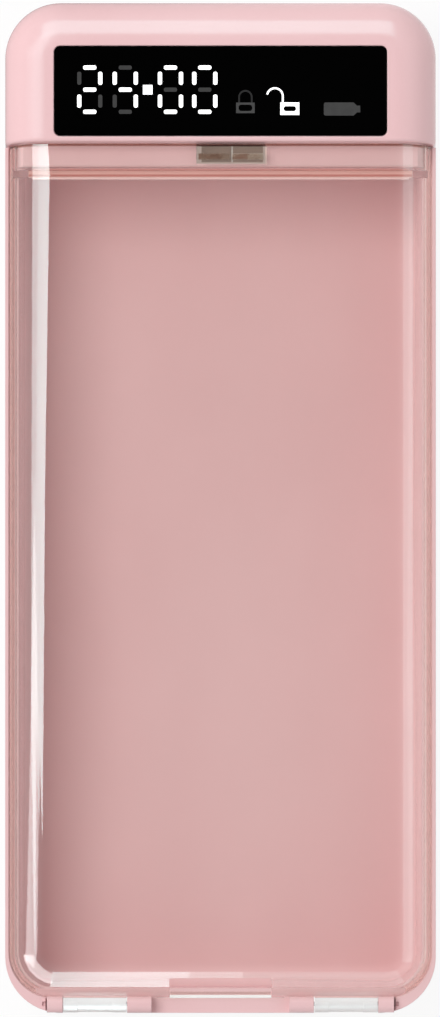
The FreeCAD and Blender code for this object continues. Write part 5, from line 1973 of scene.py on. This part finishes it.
@dataclass
class Studio:
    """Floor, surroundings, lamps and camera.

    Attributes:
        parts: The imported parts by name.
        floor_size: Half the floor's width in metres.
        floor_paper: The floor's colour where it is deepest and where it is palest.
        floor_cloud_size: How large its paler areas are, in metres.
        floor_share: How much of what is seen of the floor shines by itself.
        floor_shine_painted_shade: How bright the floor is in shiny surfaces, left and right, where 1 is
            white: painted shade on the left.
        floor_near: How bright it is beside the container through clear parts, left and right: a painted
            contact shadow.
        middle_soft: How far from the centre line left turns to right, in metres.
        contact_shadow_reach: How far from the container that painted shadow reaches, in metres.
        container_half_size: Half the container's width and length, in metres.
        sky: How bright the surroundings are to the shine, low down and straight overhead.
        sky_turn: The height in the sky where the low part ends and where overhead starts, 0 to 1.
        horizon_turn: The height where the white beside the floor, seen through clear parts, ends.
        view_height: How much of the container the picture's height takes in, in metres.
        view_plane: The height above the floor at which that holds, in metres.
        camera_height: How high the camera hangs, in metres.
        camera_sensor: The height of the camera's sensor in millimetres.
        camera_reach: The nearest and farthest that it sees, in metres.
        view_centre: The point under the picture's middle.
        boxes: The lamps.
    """

    parts: dict[str, bpy.types.Object]
    floor_size: float = 6.0
    floor_paper: tuple[Colour, Colour] = ((0.86, 0.86, 0.86), (0.88, 0.88, 0.88))
    floor_cloud_size: float = 0.4
    floor_share: float = 0.9
    floor_shine_painted_shade: Range = (0.3, 0.8)
    floor_near: Range = (0.5, 0.95)
    middle_soft: float = 40.0 * MM
    contact_shadow_reach: float = 120.0 * MM
    container_half_size: tuple[float, float] = (47.75 * MM, 112.0 * MM)
    sky: Range = (0.72, 0.03)
    sky_turn: Range = (0.8, 0.99)
    horizon_turn: Range = (0.15, 0.35)
    view_height: float = 1017 * 0.2216 * MM
    view_plane: float = 32.0 * MM
    camera_height: float = 6.0
    camera_sensor: float = 24.0
    camera_reach: Range = (0.01, 50.0)
    view_centre: tuple[float, float] = (-0.11 * MM, -0.11 * MM)
    boxes: tuple[Softbox, ...] = (
        Softbox("key_softbox", (-0.9, 0.5, 1.6), 1.2, 1.2, 4.6),
        Softbox(
            "head_left", (-0.6, 0.374, 1.23), 0.8, 0.55, 1.4, aim=(-0.6, 0.374, 0.0),
            colour=(0.6, 1.0, 1.0), mirrored_in="head_cover",
        ),
        Softbox(
            "head_far_left", (-1.4, 0.374, 1.23), 0.8, 0.55, 1.7, aim=(-1.4, 0.374, 0.0),
            colour=(0.6, 1.0, 1.0), mirrored_in="head_cover",
        ),
        Softbox(
            "head_band", (-0.175, 0.2, 0.3), 0.15, 0.25, 1.6, aim=(-0.175, 0.2, 0.0),
            colour=(0.5, 1.0, 1.0), mirrored_in="head_cover",
        ),
        Softbox(
            "head_glint", (-0.118, 0.2, 0.3), 0.05, 0.25, 3.0, aim=(-0.118, 0.2, 0.0),
            colour=(0.5, 1.0, 1.0), mirrored_in="head_cover",
        ),
        Softbox(
            "head_strip", (-0.1, 1.2, 1.0), 1.3, 1.1, 4.3,
            colour=(0.45, 1.0, 1.0), mirrored_in="head_cover",
        ),
        Softbox(
            "lid_near", (-0.1275, 0.012, 0.3), 0.053, 0.175, 13.6, aim=(-0.1275, 0.012, 0.0),
            turn=-26.0, colour=(0.82, 1.0, 1.0), mirrored_in="lid",
        ),
        Softbox(
            "lid_middle", (-0.189, 0.032, 0.3), 0.083, 0.2, 12.4, aim=(-0.189, 0.032, 0.0),
            turn=-26.0, colour=(0.82, 1.0, 1.0), mirrored_in="lid",
        ),
        Softbox(
            "lid_far", (-0.3, 0.034, 0.3), 0.16, 0.25, 8.3, aim=(-0.3, 0.034, 0.0),
            turn=-26.0, colour=(0.82, 1.0, 1.0), mirrored_in="lid",
        ),
        Softbox(
            "lid_low_left", (-0.2, -0.102, 0.169), 0.2, 0.12, 7.5, aim=(0.0, -0.102, 0.169),
            turn=-46.0, mirrored_in="lid",
        ),
        Softbox(
            "lid_corner", (-0.163, -0.225, 0.148), 0.29, 0.17, 9.0, aim=(-0.043, -0.105, 0.148),
            mirrored_in="lid",
        ),
        Softbox(
            "foot_near", (-0.0245, -0.135, 0.0505), 0.035, 0.041, 8.5, aim=(-0.0245, 0.0, 0.0505),
            colour=(0.7, 1.0, 1.0), mirrored_in="lid",
        ),
        Softbox(
            "foot_middle", (-0.001, -0.135, 0.0505), 0.012, 0.041, 4.5, aim=(-0.001, 0.0, 0.0505),
            colour=(0.7, 1.0, 1.0), mirrored_in="lid",
        ),
        Softbox(
            "foot_right", (0.0325, -0.135, 0.0505), 0.055, 0.041, 1.6, aim=(0.0325, 0.0, 0.0505),
            colour=(0.5, 1.0, 1.0), mirrored_in="lid",
        ),
        Softbox(
            "right_panel", (1.15, 0.0, 1.0), 0.8, 1.3, 2.2,
            colour=(0.6, 1.0, 1.0), mirrored_in="lid",
        ),
    )

    def contact_shadow_share(self, recipe: Recipe) -> bpy.types.NodeSocket:
        """Where the floor's painted contact shadow lies: 1 beside the container, 0 away from it.

        Args:
            recipe: The floor material's recipe.

        Returns:
            The share.
        """
        gaps = [
            recipe.sums(
                "MAXIMUM",
                recipe.sums("SUBTRACT", recipe.sums("ABSOLUTE", recipe.axis(name), 0.0), half),
                0.0,
            )
            for name, half in zip("XY", self.container_half_size)
        ]
        squares = [recipe.sums("POWER", gap, 2.0) for gap in gaps]
        distance = recipe.sums("POWER", recipe.sums("ADD", *squares), 0.5)
        return recipe.span(distance, 1.0, 0.0, 0.0, self.contact_shadow_reach)

    def lay_floor(self) -> bpy.types.Object:
        """Lays the plain pale floor.

        Returns:
            The floor's object.
        """
        grid = bmesh.new()
        bmesh.ops.create_grid(grid, x_segments=8, y_segments=8, size=self.floor_size)
        mesh = bpy.data.meshes.new("floor")
        grid.to_mesh(mesh)
        grid.free()
        floor = bpy.data.objects.new("floor", mesh)
        bpy.context.scene.collection.objects.link(floor)
        material = bpy.data.materials.new("floor_white")
        material.use_nodes = True
        self.fill_floor(Recipe(material.node_tree))
        mesh.materials.append(material)
        return floor

    def fill_floor(self, recipe: Recipe) -> None:
        """Lays out the floor's material: pale paper that shines by itself where it is seen, with a
        painted contact shadow beside the container and painted shade on its left in shiny surfaces.

        Args:
            recipe: The material's recipe.
        """
        cloud = recipe.span(recipe.noise(self.floor_cloud_size, 2.0), 0.0, 1.0)
        paper = recipe.shader(
            base_color=recipe.blend(cloud, *self.floor_paper), roughness=0.9, specular_ior_level=0.0
        )
        path = recipe.add("LightPath")
        looked_at = path.outputs["Is Camera Ray"]
        shine, through = path.outputs["Is Glossy Ray"], path.outputs["Is Transmission Ray"]
        # Painted shade: the floor is darker on the left in shiny surfaces, and a painted contact shadow
        # lies beside the container where clear parts show it.
        side = recipe.span(recipe.axis("X"), 0.0, 1.0, -self.middle_soft, self.middle_soft)
        beside = recipe.level(side, *self.floor_near)
        shadowed_through = recipe.level(self.contact_shadow_share(recipe), 1.0, beside)
        bounced = recipe.level(through, recipe.level(side, *self.floor_shine_painted_shade), shadowed_through)
        white = recipe.add("Emission")
        recipe.feed(white.inputs["Color"], (1.0, 1.0, 1.0))
        recipe.feed(white.inputs["Strength"], recipe.level(looked_at, bounced, 1.0))
        seen = recipe.sums("MAXIMUM", recipe.sums("MAXIMUM", looked_at, shine), through)
        share = recipe.sums("MULTIPLY", seen, self.floor_share)
        recipe.surface(recipe.either(share, paper.outputs[0], white.outputs[0]))

    def surround(self) -> None:
        """Fills the surroundings: white to the eye, and a studio that is dark overhead to the shine."""
        world = bpy.data.worlds.new("studio")
        world.use_nodes = True
        bpy.context.scene.world = world
        recipe = Recipe(world.node_tree)
        split = recipe.add("SeparateXYZ")
        recipe.feed(split.inputs[0], recipe.add("TexCoord").outputs["Generated"])
        level = recipe.span(split.outputs["Z"], *self.sky, *self.sky_turn)
        around = recipe.span(split.outputs["Z"], 1.0, 0.0, *self.horizon_turn)
        path = recipe.add("LightPath")
        through = recipe.sums("MULTIPLY", path.outputs["Is Transmission Ray"], around)
        seen = recipe.sums("MAXIMUM", path.outputs["Is Camera Ray"], through)
        rest = recipe.sums("MULTIPLY", recipe.sums("SUBTRACT", 1.0, seen), level)
        background = recipe.add("Background")
        recipe.feed(background.inputs["Color"], (1.0, 1.0, 1.0))
        recipe.feed(background.inputs["Strength"], recipe.sums("ADD", seen, rest))
        out = recipe.add("OutputWorld")
        recipe.feed(out.inputs["Surface"], background.outputs[0])

    def set_camera(self) -> bpy.types.Object:
        """Hangs the camera straight above the container, with the head at the picture's top.

        Returns:
            The camera's object.
        """
        lens = bpy.data.cameras.new("camera")
        lens.sensor_fit = "VERTICAL"
        lens.sensor_height = self.camera_sensor
        lens.lens = lens.sensor_height * (self.camera_height - self.view_plane) / self.view_height
        lens.clip_start, lens.clip_end = self.camera_reach
        camera = bpy.data.objects.new("camera", lens)
        camera.location = (*self.view_centre, self.camera_height)
        bpy.context.scene.collection.objects.link(camera)
        bpy.context.scene.camera = camera
        return camera

    def build(self) -> list[str]:
        """Sets up the whole studio.

        Returns:
            The names of what it holds.
        """
        bpy.context.scene.view_settings.view_transform = "Standard"
        self.surround()
        lamps = [box.hang(self.parts) for box in self.boxes]
        items = [self.lay_floor(), self.set_camera()] + lamps
        return [item.name for item in items]


def main() -> None:
    """Builds the container's looks, part by part, and then the studio."""
    logging.basicConfig(level=logging.INFO, format="%(name)s: %(message)s")
    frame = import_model()
    groups: list[SubAssembly] = [
        Housing(frame),
        Lid(frame),
        Head(frame),
        Controls(frame),
        LockWorks(frame),
        Electronics(frame),
    ]
    for group in groups:
        for name in group.build():
            LOG.info("%s: %s", type(group).__name__, name)
    for name in Studio(frame["nodes"]).build():
        LOG.info("Studio: %s", name)


if __name__ == "__main__":
    main()
